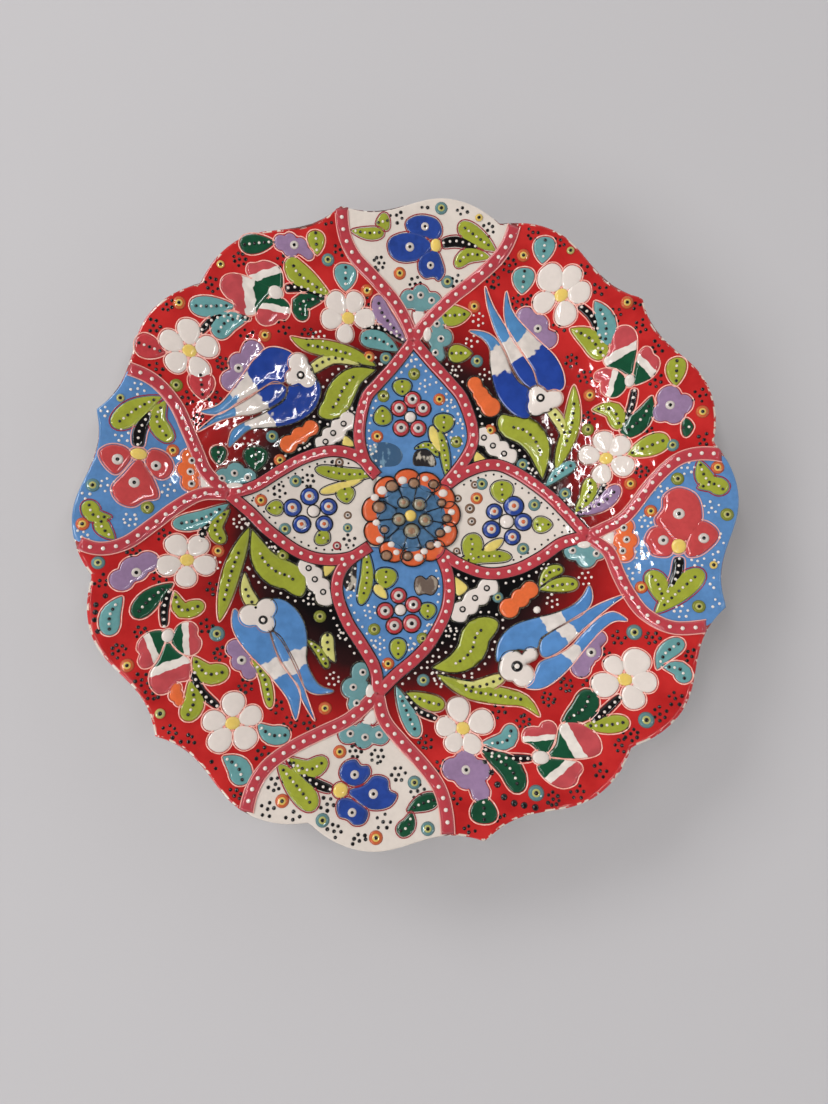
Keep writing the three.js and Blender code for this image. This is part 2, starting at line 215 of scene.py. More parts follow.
def clay_material():
    """Clear glaze over pale clay, with small iron specks, a bare sandy foot ring, and dark and
    red paint that has run over the edge of the rim and is chipped."""
    made, wire = new_material("clear_glazed_clay")
    place = wire.node("ShaderNodeTexCoord", {}, "Object")
    height = wire.node("ShaderNodeSeparateXYZ", {"Vector": place}, "Z")
    bare = 1 - height.step(0.0003, 0.0014)
    specks = wire.noise(2600, 2).step(0.70, 0.76)
    cloudy = wire.noise(60, 4)
    glazed = wire.blend(cloudy, colour(228, 220, 205), colour(240, 234, 222))
    glazed = wire.blend(specks * 0.7, glazed, colour(120, 96, 72))
    painted = attribute(wire, "rim_edge") * wire.noise(620, 4).step(0.38, 0.44)
    rim_paint = mixed(wire, 160, colour(70, 30, 26), colour(150, 42, 38))
    glazed = wire.blend(painted, glazed, rim_paint)
    sandy = wire.blend(wire.noise(4000, 3), colour(196, 178, 150), colour(222, 205, 178))
    base = wire.blend(bare, glazed, sandy)
    roughness = bare * 0.55 + wire.noise(90, 3) * 0.08 + 0.16
    grain = wire.noise(140, 4) * 0.7 + bare * wire.noise(5000, 3) * 0.5
    finish_material(wire, base, roughness, grain, 0.00025)
    return made


def add_piece(name, mesh, nodes=()):
    """Puts a finished mesh in the scene as a piece of the plate, in place of its CAD nodes."""
    piece = bpy.data.objects.new(name, mesh)
    bpy.context.scene.collection.objects.link(piece)
    mesh.shade_smooth()
    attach(piece, "root")
    if nodes:
        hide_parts(*nodes)


def mark_points(mesh, name, values):
    """Gives each point of a mesh a number that its material reads."""
    mark = mesh.attributes.new(name, "FLOAT", "POINT")
    mark.data.foreach_set("value", values)


def turned_body():
    """The clay's section as (radius, height) places from the middle of the back, over the foot
    ring and round the rim to the middle of the face, and a mark on those at the rim's edge."""
    def back(radius):
        return float(face_height(radius, 0.0)) - coat_lift - wall

    def face(radius):
        share = (radius - floor_radius) / (plate_radius - floor_radius)
        return bowl_rise(max(0, share)) - coat_lift

    profile = [(0.01, back(0)), (12, back(12)), (24, back(24)), (32, back(32)), (37, back(37))]
    profile += [(39.6, back(39) - 0.3), (41.0, 4.2), (41.9, 1.6), (42.5, 0.35), (43.0, 0.0)]
    profile += [(45.0, 0.0), (47.0, 0.0), (47.5, 0.4), (48.1, 2.0), (49.0, 4.6), (50.4, 6.6)]
    profile += [(52.5, back(52.5) - 0.1), (56, back(56)), (60, back(60))]
    walls = [(66, 5.0), (72, 5.0), (78, 4.8), (83, 4.5), (86.5, 4.2)]
    profile += [(radius, face(radius) - thick) for radius, thick in walls]
    edge_middle = plate_height - coat_lift - rim_half_thickness
    for turn in range(-75, 91, 15):
        angle = math.radians(turn)
        radius = plate_radius - rim_rounding + rim_rounding * math.cos(angle)
        profile.append((radius, edge_middle + rim_half_thickness * math.sin(angle)))
    profile += [(radius, face(radius)) for radius in np.arange(plate_radius - 3.5, 0.5, -3.0)]
    profile.append((0.01, face(0)))
    at_edge = [abs(radius - plate_radius) < 2.0 for radius, _ in profile]
    return np.array(profile), np.array(at_edge, float)


def body_mesh():
    """The section turned into a closed body, pulled out to the wavy rim beyond wave_start."""
    turns = 720
    profile, at_edge = turned_body()
    angles = np.arange(turns) * 2 * math.pi / turns
    stretch = (rim_radius(angles) - wave_start) / (plate_radius - wave_start)
    rows = []
    for radius, height in profile:
        pull = stretch if radius > wave_start else 1 + 0 * angles
        moved = wave_start + (radius - wave_start) * pull
        rows.append(np.stack([moved * np.cos(angles), moved * np.sin(angles), height + 0 * angles], 1))
    inner = np.array([[0, 0, profile[0][1]], [0, 0, profile[-1][1]]])
    verts = np.concatenate(rows[1:-1] + [inner]) * MM
    rings = len(rows) - 2
    under_pole, face_pole = rings * turns, rings * turns + 1
    faces = []
    for ring in range(rings - 1):
        for i in range(turns):
            j = (i + 1) % turns
            a, b = ring * turns, (ring + 1) * turns
            faces.append((a + i, a + j, b + j, b + i))
    for i in range(turns):
        j = (i + 1) % turns
        faces.append((under_pole, j, i))
        faces.append((face_pole, (rings - 1) * turns + i, (rings - 1) * turns + j))
    mesh = bpy.data.meshes.new("plate_body")
    mesh.from_pydata(verts.tolist(), [], faces)
    mesh.materials.append(clay_material())
    mark_points(mesh, "rim_edge", np.append(np.repeat(at_edge[1:-1], turns), [0, 0]))
    return mesh


add_piece("plate_body", body_mesh(), ["clay_body"])

# ---------------------------------------------------------------- glaze panels
# Flat colour brushed over the clay inside the drawn lines and fired to a wet gloss: four red
# corners that are sprayed brown black towards the middle, four rim panels and four petals.
# Each panel ends under the raised bands. Places are in millimetres on a plate of 90 mm radius.
SIDES = ["top", "right", "bottom", "left"]
CORNERS = ["upper_right", "lower_right", "lower_left", "upper_left"]
# A petal line starts by the middle, goes round the tip and comes back, and a rim line starts at
# the rim, comes in to the petal's tip and goes out again.
PETAL_LINES = {
    "top": [(-9, 12.5), (-12.6, 17), (-14.3, 25), (-12.5, 35), (-8.7, 40), (-4.3, 45), (1.5, 52.5),
            (8, 45), (12.5, 40), (16.2, 35), (19, 26), (17.6, 19), (10, 9)],
    "right": [(10, 9), (17, 13.8), (25, 15.8), (32, 13), (40, 7), (45, 1.8), (51, -5.5),
              (44, -7.4), (38, -11.5), (31, -15), (23, -16.2), (15, -13.4), (9, -9.5)],
    "bottom": [(9, -9.5), (11.5, -17), (11, -26), (6.5, -35), (1.8, -40.2), (-3.5, -44.5), (-8.7, -49.6),
               (-9.4, -43), (-13, -36.5), (-17.5, -29.5), (-20.4, -21), (-18.5, -13.8), (-11, -8)],
    "left": [(-11, -8), (-17, -11.5), (-25, -12), (-32, -9.6), (-40, -3.7), (-45, 1.3), (-51.2, 6.6),
             (-44, 9), (-37, 13.6), (-30, 17.6), (-22, 19.8), (-14.5, 18.2), (-9, 12.5)],
}
RIM_LINES = {
    "top": [(-18.4, 90), (-18.9, 84), (-17.9, 78.5), (-15, 73.8), (-10, 69.3), (-4, 63.3), (-0.2, 57),
            (1.5, 52.5), (3.6, 55.8), (8.3, 60.5), (13.5, 64.8), (19, 68.5), (25.5, 73.5), (29, 78.5),
            (31, 86)],
    "right": [(90, 12.5), (85, 15), (79, 15.8), (74, 14.2), (68.3, 8.7), (61.5, 0), (55, -3.7),
              (51, -5.5), (54, -7.8), (56.8, -10.5), (58.8, -16.5), (61.3, -22.5), (65, -28.3),
              (72, -32.2), (83, -31.5)],
    "bottom": [(9.6, -91), (9.5, -81), (7.8, -74), (3.6, -68.2), (-2, -62.3), (-6.8, -56.5), (-8.7, -49.6),
               (-16, -56), (-24, -59.8), (-31, -63.2), (-37.5, -68), (-41, -74.5), (-42, -83)],
    "left": [(-93, -7), (-84, -10.8), (-77, -9), (-70.5, -3.2), (-65, 2), (-58.5, 6.2), (-51.2, 6.6),
             (-57.2, 12.5), (-59.7, 18), (-62, 23.5), (-65.5, 31.2), (-71.5, 37), (-81, 39.5)],
}
# Thickness of the flat glaze, and how far inside the rim it ends.
COAT = 0.32
RIM_MARGIN = 0.3
DRAWN_RADIUS = 90.0
drawn_scale = plate_radius / DRAWN_RADIUS


def on_plate(places):
    """Where the drawing comes on the plate. The bowl's slope draws it in a little, about one
    part in seventy half way up, towards a point in front of the middle."""
    places = np.asarray(places, float)
    share = np.clip((np.hypot(*places.T) - 28) / (DRAWN_RADIUS - 28), 0, 1)
    pull = 0.0145 * np.sin(math.pi * share**1.3)
    return (places - pull[:, None] * (places - (0.0, -70.0))) * drawn_scale


def spline(places, steps, closed=False):
    """Smooth line through a few places, as an array of points."""
    knots = np.array(places, float)
    count = len(knots)
    points = []
    for i in range(count if closed else count - 1):
        near = range(i - 1, i + 3)
        a, b, c, d = (knots[k % count if closed else min(max(k, 0), count - 1)] for k in near)
        for t in np.arange(steps) / steps:
            points.append(0.5 * (2 * b + (c - a) * t + (2 * a - 5 * b + 4 * c - d) * t**2
                                 + (3 * b - a - 3 * c + d) * t**3))
    if not closed:
        points.append(knots[-1])
    return np.array(points)


def halves(places):
    """The two halves of a drawn line: to the tip on one side, and back on the other."""
    middle, steps = len(places) // 2, 8
    return spline(places[: middle + 1], steps), spline(places[middle:], steps)


def edge_distance(points, outline):
    """Distance of each point from a closed outline."""
    start, end = outline, np.roll(outline, -1, 0)
    along = end - start
    best = np.full(len(points), 1e9)
    for a, run in zip(start, along):
        share = np.clip(((points - a) @ run) / max(run @ run, 1e-12), 0, 1)
        best = np.minimum(best, np.hypot(*(points - a - share[:, None] * run).T))
    return best


def inside(points, outline):
    """Whether each point is inside a closed outline."""
    found = np.zeros(len(points), bool)
    for (ax, ay), (bx, by) in zip(outline, np.roll(outline, -1, 0)):
        crosses = (ay > points[:, 1]) != (by > points[:, 1])
        with np.errstate(divide="ignore", invalid="ignore"):
            cut = ax + (points[:, 1] - ay) * (bx - ax) / (by - ay)
        found ^= crosses & (points[:, 0] < cut)
    return found


def inward(outline):
    """Direction from each corner of a closed outline to its inside, square to its neighbours."""
    before, after = np.roll(outline, 1, 0), np.roll(outline, -1, 0)
    run = after - before
    side = np.stack([-run[:, 1], run[:, 0]], 1) / np.maximum(np.hypot(*run.T), 1e-9)[:, None]
    clockwise = np.sum(outline[:, 0] * after[:, 1] - after[:, 0] * outline[:, 1]) < 0
    return -side if clockwise else side


painted_cells = []


def coat(outline, thick, edge, spacing, base=0.0, dome=0.0):
    """A closed coat of glaze on the face inside an outline, kept within the rim. Its edge is
    rounded over a width `edge`, its middle swells by `dome`, and its underside lies just
    inside the plate. A coat laid on another one, from a height `base`, is also added to
    painted_cells, which the small drops keep clear of."""
    row_pitch, clear_share, ring_shares, kept_share = 0.87, 0.35, (0.25, 1), 0.85
    swell_width, sink = 1.6, 0.35
    outline = np.array(outline, float)
    if np.allclose(outline[0], outline[-1]):
        outline = outline[:-1]
    edge_radius = (rim_radius(np.arctan2(outline[:, 1], outline[:, 0])) - RIM_MARGIN) / drawn_scale
    outline = outline * np.minimum(1, edge_radius / np.hypot(*outline.T))[:, None]
    if base:
        painted_cells.append(outline)
    low, high = outline.min(0), outline.max(0)
    rows = np.arange(low[1], high[1], spacing * row_pitch)
    grid = [(x, y) for k, y in enumerate(rows)
            for x in np.arange(low[0] + (k % 2) * spacing / 2, high[0], spacing)]
    grid = np.array(grid).reshape(-1, 2)
    grid = grid[inside(grid, outline)]
    grid = grid[edge_distance(grid, outline) > edge + spacing * clear_share]
    side = inward(outline)
    layers = [outline]
    for inset in (share * edge for share in ring_shares):
        ring = outline + side * inset
        ring = ring[inside(ring, outline)]
        layers.append(ring[edge_distance(ring, outline) > inset * kept_share])
    points = np.concatenate(layers + [grid])
    count = len(outline)
    rim = [tuple(range(count))]
    flat, _, tris, *_ = delaunay_2d_cdt([Vector(p) for p in points], [], rim, 1, 1e-5)
    flat = np.array([tuple(p) for p in flat])
    depth = edge_distance(flat, outline)
    share = np.clip(depth / edge, 0, 1)
    swell = thick * np.sqrt(1 - (1 - share) ** 2) + dome * (1 - np.exp(-depth / swell_width))
    laid = on_plate(flat)
    ground = face_height(laid[:, 0], laid[:, 1]) - COAT
    top = np.column_stack([laid, ground + base + swell])
    bottom = np.column_stack([laid, ground + base - sink])
    faces = [tuple(t) for t in tris]
    seen = dict.fromkeys(pair for a, b, c in faces for pair in ((a, b), (b, c), (c, a)))
    half = len(flat)
    walls = [(b, a, a + half, b + half) for a, b in seen if (b, a) not in seen]
    faces = faces + walls + [(c + half, b + half, a + half) for a, b, c in tris]
    return np.concatenate([top, bottom]), faces, np.concatenate([share, share])


def joined(name, layers):
    """One mesh from lists of coats, each list with its own material. The thin edges of a coat
    are marked in the attribute `depth`, which its glaze reads."""
    verts, faces, depth, which = [], [], [], []
    mesh = bpy.data.meshes.new(name)
    for place, (coats, material) in enumerate(layers):
        mesh.materials.append(material)
        for points, polygons, share in coats:
            start = sum(len(v) for v in verts)
            verts.append(points * MM)
            depth.append(share)
            faces += [tuple(i + start for i in face) for face in polygons]
            which += [place] * len(polygons)
    mesh.from_pydata(np.concatenate(verts).tolist(), [], faces)
    mesh.polygons.foreach_set("material_index", which)
    mark_points(mesh, "depth", np.concatenate(depth))
    return mesh


def wet_gloss(wire, base):
    """Finishes a fired glaze: glossy, with a faint orange peel."""
    finish_material(wire, base, wire.noise(300) * 0.03 + 0.03, wire.noise(230, 1), 0.00013)


def glaze(name, tint, streak=0.10, edge_shade=0.72):
    """Fired glaze of one colour: pooled a little unevenly, and darkened along the rounded edge of
    the stroke as painted shade."""
    made, wire = new_material(name)
    pooled = wire.noise(220, 4) * 0.6 + wire.noise(900, 2) * 0.4
    body = wire.blend(pooled.step(0.3, 0.7), shade(tint, 1 - streak), shade(tint, 1 + streak))
    # Painted shade: the colour darkens where the coat's edge rounds over, read from `depth`.
    wet_gloss(wire, wire.blend(attribute(wire, "depth").step(0.0, 0.45), shade(tint, edge_shade), body))
    return made


def from_middle(wire):
    """Distance from the upright line through the plate's middle, in metres."""
    place = wire.node("ShaderNodeTexCoord", {}, "Object")
    plan = wire.node("ShaderNodeVectorMath", {0: place, 1: (1, 1, 0)}, operation="MULTIPLY")
    return wire.node("ShaderNodeVectorMath", {0: plan}, "Value", operation="LENGTH")


def corner_glaze():
    """Red glaze, sprayed through brown to black round the middle and chipped at the rim."""
    made, wire = new_material("red_to_black_glaze")
    radius = from_middle(wire)
    spray = radius + (wire.noise(70, 4) - 0.5) * 0.010
    red = wire.blend(wire.noise(110, 4).step(0.3, 0.7), colour(172, 30, 30), colour(196, 44, 42))
    deep = wire.blend(spray.step(0.050, 0.068), colour(132, 20, 20), red)
    brown = wire.blend(spray.step(0.044, 0.054), colour(44, 18, 18), deep)
    base = wire.blend(spray.step(0.037, 0.046), colour(9, 7, 7), brown)
    thin_edge = 1 - attribute(wire, "depth").step(0.4, 0.75)
    chips = wire.noise(480, 4).step(0.51, 0.55) * thin_edge * radius.step(0.083, 0.085)
    wet_gloss(wire, wire.blend(chips, base, colour(214, 200, 184)))
    return made


def rim_arc(start, end):
    """Places along the wavy rim, the short way round from one place's direction to another's."""
    first, last = math.atan2(start[1], start[0]), math.atan2(end[1], end[0])
    turn = (last - first + math.pi) % (2 * math.pi) - math.pi
    angles = first + turn * np.linspace(0, 1, max(3, int(abs(turn) / math.radians(0.8))))
    radius = (rim_radius(angles) - RIM_MARGIN) / drawn_scale
    return np.stack([radius * np.cos(angles), radius * np.sin(angles)], 1)


def apart(line, other):
    """The part of a line that keeps half a millimetre clear of another one."""
    return line[edge_distance(line, np.concatenate([other, other[::-1]])) > 0.5]


def cut_at_rim(line):
    """The part of a line that lies on the plate."""
    radius = np.hypot(*line.T) * drawn_scale
    return line[radius < rim_radius(np.arctan2(line[:, 1], line[:, 0])) - RIM_MARGIN]


cream_glaze = glaze("cream_glaze", colour(218, 206, 195), streak=0.04, edge_shade=0.85)
sky_glaze = glaze("sky_blue_glaze", colour(88, 131, 180), streak=0.12)
red_glaze = corner_glaze()
petal_halves = {side: halves(PETAL_LINES[side]) for side in SIDES}
rim_halves = {side: [cut_at_rim(line) for line in halves(RIM_LINES[side])] for side in SIDES}
blue_or_cream = [(sky_glaze, "blue_glaze"), (cream_glaze, "cream_glaze")]
for side in SIDES:
    petal_kind, rim_kind = blue_or_cream if side in ("top", "bottom") else blue_or_cream[::-1]
    out, back = petal_halves[side]
    into, away = rim_halves[side]
    for group, outline, (paint, slot_name) in (
        ("petal", [out, back[1:]], petal_kind),
        ("rim", [into, away[1:], rim_arc(away[-1], into[0])[1:-1]], rim_kind),
    ):
        name = f"{group}_glaze_{side}"
        mesh = joined(name, [([coat(np.concatenate(outline), COAT, 0.5, 1.4)], paint)])
        add_piece(name, mesh, [f"{group}_panel_{side}"])
for place, corner in enumerate(CORNERS):
    here, after = SIDES[place], SIDES[(place + 1) % 4]
    down, inner = rim_halves[here][1][::-1], petal_halves[here][1]
    outer, up = petal_halves[after][0], rim_halves[after][0][::-1]
    arc = rim_arc(up[-1], down[0])[1:-1]
    outline = np.concatenate([down, apart(inner, outer)[1:], apart(outer, inner), up[1:], arc])
    mesh = joined(f"red_glaze_{corner}", [([coat(outline, COAT, 0.9, 1.4)], red_glaze)])
    add_piece(f"red_glaze_{corner}", mesh, [f"corner_glaze_{corner}"])

# ---------------------------------------------------------------- dotted bands
# Rose red ribbons of thick enamel, brushed over the joints between the panels. Each is edged
# with a trailed line and has a row of white slip dots along its middle.
BAND_WIDTH = 3.5
BAND_HEIGHT = 0.5
RIM_BAND_HEIGHT = 0.46
LINE_WIDTH = 0.34


def leftward(line):
    """Direction to the left of an open line at each of its points."""
    run = np.gradient(line, axis=0)
    return np.stack([-run[:, 1], run[:, 0]], 1) / np.hypot(*run.T)[:, None]


def strip(line, width):
    """Closed outline of a ribbon along a line."""
    side = leftward(line) * width / 2
    return np.concatenate([line + side, (line - side)[::-1]])


def on_face(line, lift):
    """Points in metres on the glazed face, with a lift in millimetres."""
    laid = on_plate(line)
    return np.column_stack([laid, face_height(laid[:, 0], laid[:, 1]) + lift]) * MM


def spaced(line, step):
    """The same line with evenly spaced points."""
    line = np.asarray(line, float)
    run = np.concatenate([[0], np.cumsum(np.hypot(*np.diff(line, axis=0).T))])
    at = np.linspace(0, run[-1], max(2, int(round(run[-1] / step)) + 1))
    return np.column_stack([np.interp(at, run, line[:, 0]), np.interp(at, run, line[:, 1])])


def tree_with(name, inputs):
    """A node group with a geometry input, a material and named sizes."""
    tree = bpy.data.node_groups.new(name, "GeometryNodeTree")
    tree.interface.new_socket("Geometry", in_out="INPUT", socket_type="NodeSocketGeometry")
    for label, kind in inputs:
        tree.interface.new_socket(label, in_out="INPUT", socket_type=kind)
    tree.interface.new_socket("Geometry", in_out="OUTPUT", socket_type="NodeSocketGeometry")
    given = tree.nodes.new("NodeGroupInput")
    return tree, given, tree.nodes.new("NodeGroupOutput")


def add_node(tree, kind, sockets, **settings):
    """Adds a node whose inputs are numbers or other nodes' outputs."""
    made = tree.nodes.new(kind)
    for name, value in settings.items():
        setattr(made, name, value)
    for name, value in sockets.items():
        if isinstance(value, bpy.types.NodeSocket):
            tree.links.new(value, made.inputs[name])
        else:
            made.inputs[name].default_value = value
    return made


def painted_result(tree, made, given, result):
    """Ends a node group: the made shape turned into real mesh and given its paint."""
    real = add_node(tree, "GeometryNodeRealizeInstances", {"Geometry": made.outputs[0]})
    sockets = {"Geometry": real.outputs[0], "Material": given.outputs["Paint"]}
    painted = add_node(tree, "GeometryNodeSetMaterial", sockets)
    tree.links.new(painted.outputs[0], result.inputs["Geometry"])
    return tree


def trail_tree():
    """Geometry Nodes: runs a round bead of slip along every line of the input."""
    inputs = [("Width", "NodeSocketFloat"), ("Paint", "NodeSocketMaterial")]
    tree, given, result = tree_with("trailed_line", inputs)
    curve = add_node(tree, "GeometryNodeMeshToCurve", {"Mesh": given.outputs["Geometry"]})
    radius = add_node(tree, "ShaderNodeMath", {0: given.outputs["Width"], 1: 2.0}, operation="DIVIDE")
    sockets = {"Resolution": 7, "Radius": radius.outputs[0]}
    bead = add_node(tree, "GeometryNodeCurvePrimitiveCircle", sockets)
    sockets = {"Curve": curve.outputs[0], "Profile Curve": bead.outputs[0], "Fill Caps": True}
    tube = add_node(tree, "GeometryNodeCurveToMesh", sockets)
    return painted_result(tree, tube, given, result)


def dot_tree():
    """Geometry Nodes: sets a low round drop of slip on every point, as wide as its `size` and
    square to the face, whose upright is `lean`."""
    inputs = [("Flatness", "NodeSocketFloat"), ("Segments", "NodeSocketInt"),
              ("Paint", "NodeSocketMaterial")]
    tree, given, result = tree_with("slip_dots", inputs)
    points = add_node(tree, "GeometryNodeMeshToPoints", {"Mesh": given.outputs["Geometry"]})
    sockets = {"Segments": given.outputs["Segments"], "Rings": 4, "Radius": 0.5}
    drop = add_node(tree, "GeometryNodeMeshUVSphere", sockets)
    size = add_node(tree, "GeometryNodeInputNamedAttribute", {"Name": "size"}, data_type="FLOAT")
    lean = add_node(tree, "GeometryNodeInputNamedAttribute", {"Name": "lean"}, data_type="FLOAT_VECTOR")
    turn = add_node(tree, "FunctionNodeAlignRotationToVector", {"Vector": lean.outputs[0]}, axis="Z")
    tall = add_node(tree, "ShaderNodeMath", {0: size.outputs[0], 1: given.outputs["Flatness"]},
                    operation="MULTIPLY")
    sockets = {"X": size.outputs[0], "Y": size.outputs[0], "Z": tall.outputs[0]}
    scale = add_node(tree, "ShaderNodeCombineXYZ", sockets)
    sockets = {"Points": points.outputs[0], "Instance": drop.outputs[0],
               "Rotation": turn.outputs[0], "Scale": scale.outputs[0]}
    placed = add_node(tree, "GeometryNodeInstanceOnPoints", sockets)
    return painted_result(tree, placed, given, result)


def grown(name, source, tree, values):
    """Runs a node group on a mesh and returns the plain mesh that it makes."""
    holder = bpy.data.objects.new(name, source)
    bpy.context.scene.collection.objects.link(holder)
    modifier = holder.modifiers.new("grow", "NODES")
    modifier.node_group = tree
    for item in tree.interface.items_tree:
        if item.in_out == "INPUT" and item.name in values:
            modifier[item.identifier] = values[item.name]
    seen = holder.evaluated_get(bpy.context.evaluated_depsgraph_get())
    mesh = bpy.data.meshes.new_from_object(seen)
    mesh.name = name
    bpy.data.objects.remove(holder)
    return mesh


def trailed(name, lines, paint, width=LINE_WIDTH, lift=0.02):
    """Beads of slip along lines on the face, as one piece."""
    source = bpy.data.meshes.new(name)
    points, edges = [], []
    for line in lines:
        spot = on_face(spaced(line, 0.7), lift)
        start = len(points)
        points += spot.tolist()
        edges += [(i, i + 1) for i in range(start, start + len(spot) - 1)]
    source.from_pydata(points, edges, [])
    mesh = grown(name, source, trail_nodes, {"Width": width * drawn_scale * MM, "Paint": paint})
    add_piece(name, mesh)


def dotted(name, dots, paint, lift, flatness=0.6, segments=8):
    """Drops of slip at (x, y, width) places on the face, as one piece. None is nearer than
    0.9 mm to the rim."""
    dots = np.array(dots, float)
    radius = np.hypot(dots[:, 0], dots[:, 1])
    edge = rim_radius(np.arctan2(dots[:, 1], dots[:, 0])) / drawn_scale
    dots = dots[radius + dots[:, 2] / 2 < edge - 0.9]
    source = bpy.data.meshes.new(name)
    source.from_pydata(on_face(dots[:, :2], lift).tolist(), [], [])
    mark_points(source, "size", dots[:, 2] * drawn_scale * MM)
    x, y = on_plate(dots[:, :2]).T
    slope_x = (face_height(x + 0.5, y) - face_height(x - 0.5, y))
    slope_y = (face_height(x, y + 0.5) - face_height(x, y - 0.5))
    lean = source.attributes.new("lean", "FLOAT_VECTOR", "POINT")
    lean.data.foreach_set("vector", np.column_stack([-slope_x, -slope_y, 1 + 0 * x]).ravel())
    values = {"Flatness": flatness, "Segments": segments, "Paint": paint}
    add_piece(name, grown(name, source, dot_nodes, values))


trail_nodes = trail_tree()
dot_nodes = dot_tree()
rose_enamel = glaze("rose_red_enamel", colour(178, 62, 70), edge_shade=0.6)
pink_slip = glaze("pale_pink_slip", colour(226, 160, 150), streak=0.06, edge_shade=1.0)
black_slip = glaze("black_slip", colour(16, 13, 13), streak=0.3, edge_shade=1.0)
white_slip = glaze("white_slip", colour(230, 218, 208), streak=0.03, edge_shade=1.0)
rose_slip = glaze("rose_slip", colour(150, 40, 48), streak=0.1, edge_shade=1.0)
band_dots = []
for side in SIDES:
    for group, lines, height, edge_paint in (
        ("petal", petal_halves, BAND_HEIGHT, black_slip),
        ("rim", rim_halves, RIM_BAND_HEIGHT, pink_slip),
    ):
        ribbons = [strip(spaced(line, 1.0), BAND_WIDTH) for line in lines[side]]
        coats = [coat(ribbon, height, 0.8, 1.3, base=COAT) for ribbon in ribbons]
        name = f"{group}_ribbon_{side}"
        add_piece(name, joined(name, [(coats, rose_enamel)]), [f"{group}_band_{side}"])
        edges = [cut_at_rim(edge) for ribbon in ribbons for edge in np.array_split(ribbon, 2)]
        trailed(f"{name}_edges", edges, edge_paint, lift=0.15)
        for line in lines[side]:
            for x, y in spaced(line, 3.0)[1:-1]:
                band_dots.append((x, y, 1.15))
dotted("band_dots", band_dots, white_slip, lift=BAND_HEIGHT)

# ---------------------------------------------------------------- white flowers
# Two five-petalled flowers in each red corner. Each petal is a thick drop of white enamel
# inside a trailed line, and the yellow middle sits proud of them.
# A flower is its middle, and then (direction in degrees, petal radius) for every petal.
WHITE_FLOWERS = {
    "upper_left_outer": [(-61.5, 45.8), (90, 3.4), (158, 3.2), (226, 3.1), (298, 3.2), (20, 3.2)],
    "upper_left_inner": [(-17.5, 58.5), (130, 3.3), (67, 3.0), (0, 3.2), (258, 2.7), (185, 3.1)],
    "upper_right_outer": [(43.7, 63.0), (123, 3.9), (60, 3.2), (0, 3.2), (285, 3.4), (195, 3.2)],
    "upper_right_inner": [(56.7, 16.9), (97, 3.2), (42, 3.2), (-28, 3.3), (255, 3.0), (165, 3.0)],
    "lower_left_outer": [(-61.5, -12.6), (125, 3.2), (57, 3.1), (-15, 3.1), (270, 3.0), (200, 3.2)],
    "lower_left_inner": [(-46.9, -56.8), (93, 3.3), (22, 3.0), (-48, 3.3), (238, 3.3), (172, 3.0)],
    "lower_right_inner": [(14.6, -58.8), (102, 3.4), (18, 3.6), (-62, 2.9), (235, 2.7), (175, 2.9)],
    "lower_right_outer": [(58.2, -45.8), (55, 3.9), (122, 2.8), (195, 3.7), (288, 3.3), (-8, 3.2)],
}


def oval(x, y, wide, tall=None, turn=0.0, steps=22):
    """Closed outline of an oval, turned by an angle in degrees."""
    angles = np.arange(steps) * 2 * math.pi / steps
    flat = np.stack([np.cos(angles) * wide / 2, np.sin(angles) * (tall or wide) / 2], 1)
    c, s = math.cos(math.radians(turn)), math.sin(math.radians(turn))
    return flat @ np.array([[c, s], [-s, c]]) + (x, y)


def spread(places, count):
    """The same line with its points packed closer towards both ends."""
    share = (1 - np.cos(np.linspace(0, math.pi, count))) / 2
    run = np.concatenate([[0], np.cumsum(np.hypot(*np.diff(places, axis=0).T))])
    at = share * run[-1]
    return np.column_stack([np.interp(at, run, places[:, 0]), np.interp(at, run, places[:, 1])]), share


def leaf(places, width, fat, point, count=13):
    """Closed outline of a leaf along a bent middle line. A small `fat` makes its start round,
    and a large `point` draws its end out to a tip."""
    line, share = spread(spline(places, 10), count)
    peak = fat / (fat + point)
    half = share**fat * (1 - share) ** point / (peak**fat * (1 - peak) ** point) * width / 2
    reach = leftward(line) * half[:, None]
    return np.concatenate([line + reach, (line - reach)[-2:0:-1]])


def around(outline, gap=0.3):
    """The closed line that runs round a cell of enamel, a little outside it."""
    line = outline - inward(outline) * gap
    return np.vstack([line, line[:1]])


def towards(x, y, direction, reach):
    """The place at a reach from another one, in a direction in degrees."""
    return x + math.cos(math.radians(direction)) * reach, y + math.sin(math.radians(direction)) * reach


def flower_petal(x, y, direction, radius):
    """Round petal that stands away from the middle of its flower and narrows towards it."""
    near, far = 1.5, 2.0 + 1.86 * radius
    ends = [towards(x, y, direction, reach) for reach in (far, near)]
    return leaf(ends, radius * 1.8, 0.45, 0.62)


def field_slip():
    """Slip of the trailed lines: pale pink over the red, and black near the middle."""
    made, wire = new_material("field_line_slip")
    fade = (from_middle(wire) + (wire.noise(80) - 0.5) * 0.008).step(0.049, 0.059)
    pale = mixed(wire, 700, colour(236, 158, 142), colour(248, 200, 186))
    dark = mixed(wire, 900, colour(18, 16, 15), colour(88, 84, 66), 0.45, 0.6)
    roughness = wire.noise(300) * 0.1 + 0.16
    finish_material(wire, wire.blend(fade, dark, pale), roughness, wire.noise(2400), 0.0001)
    return made


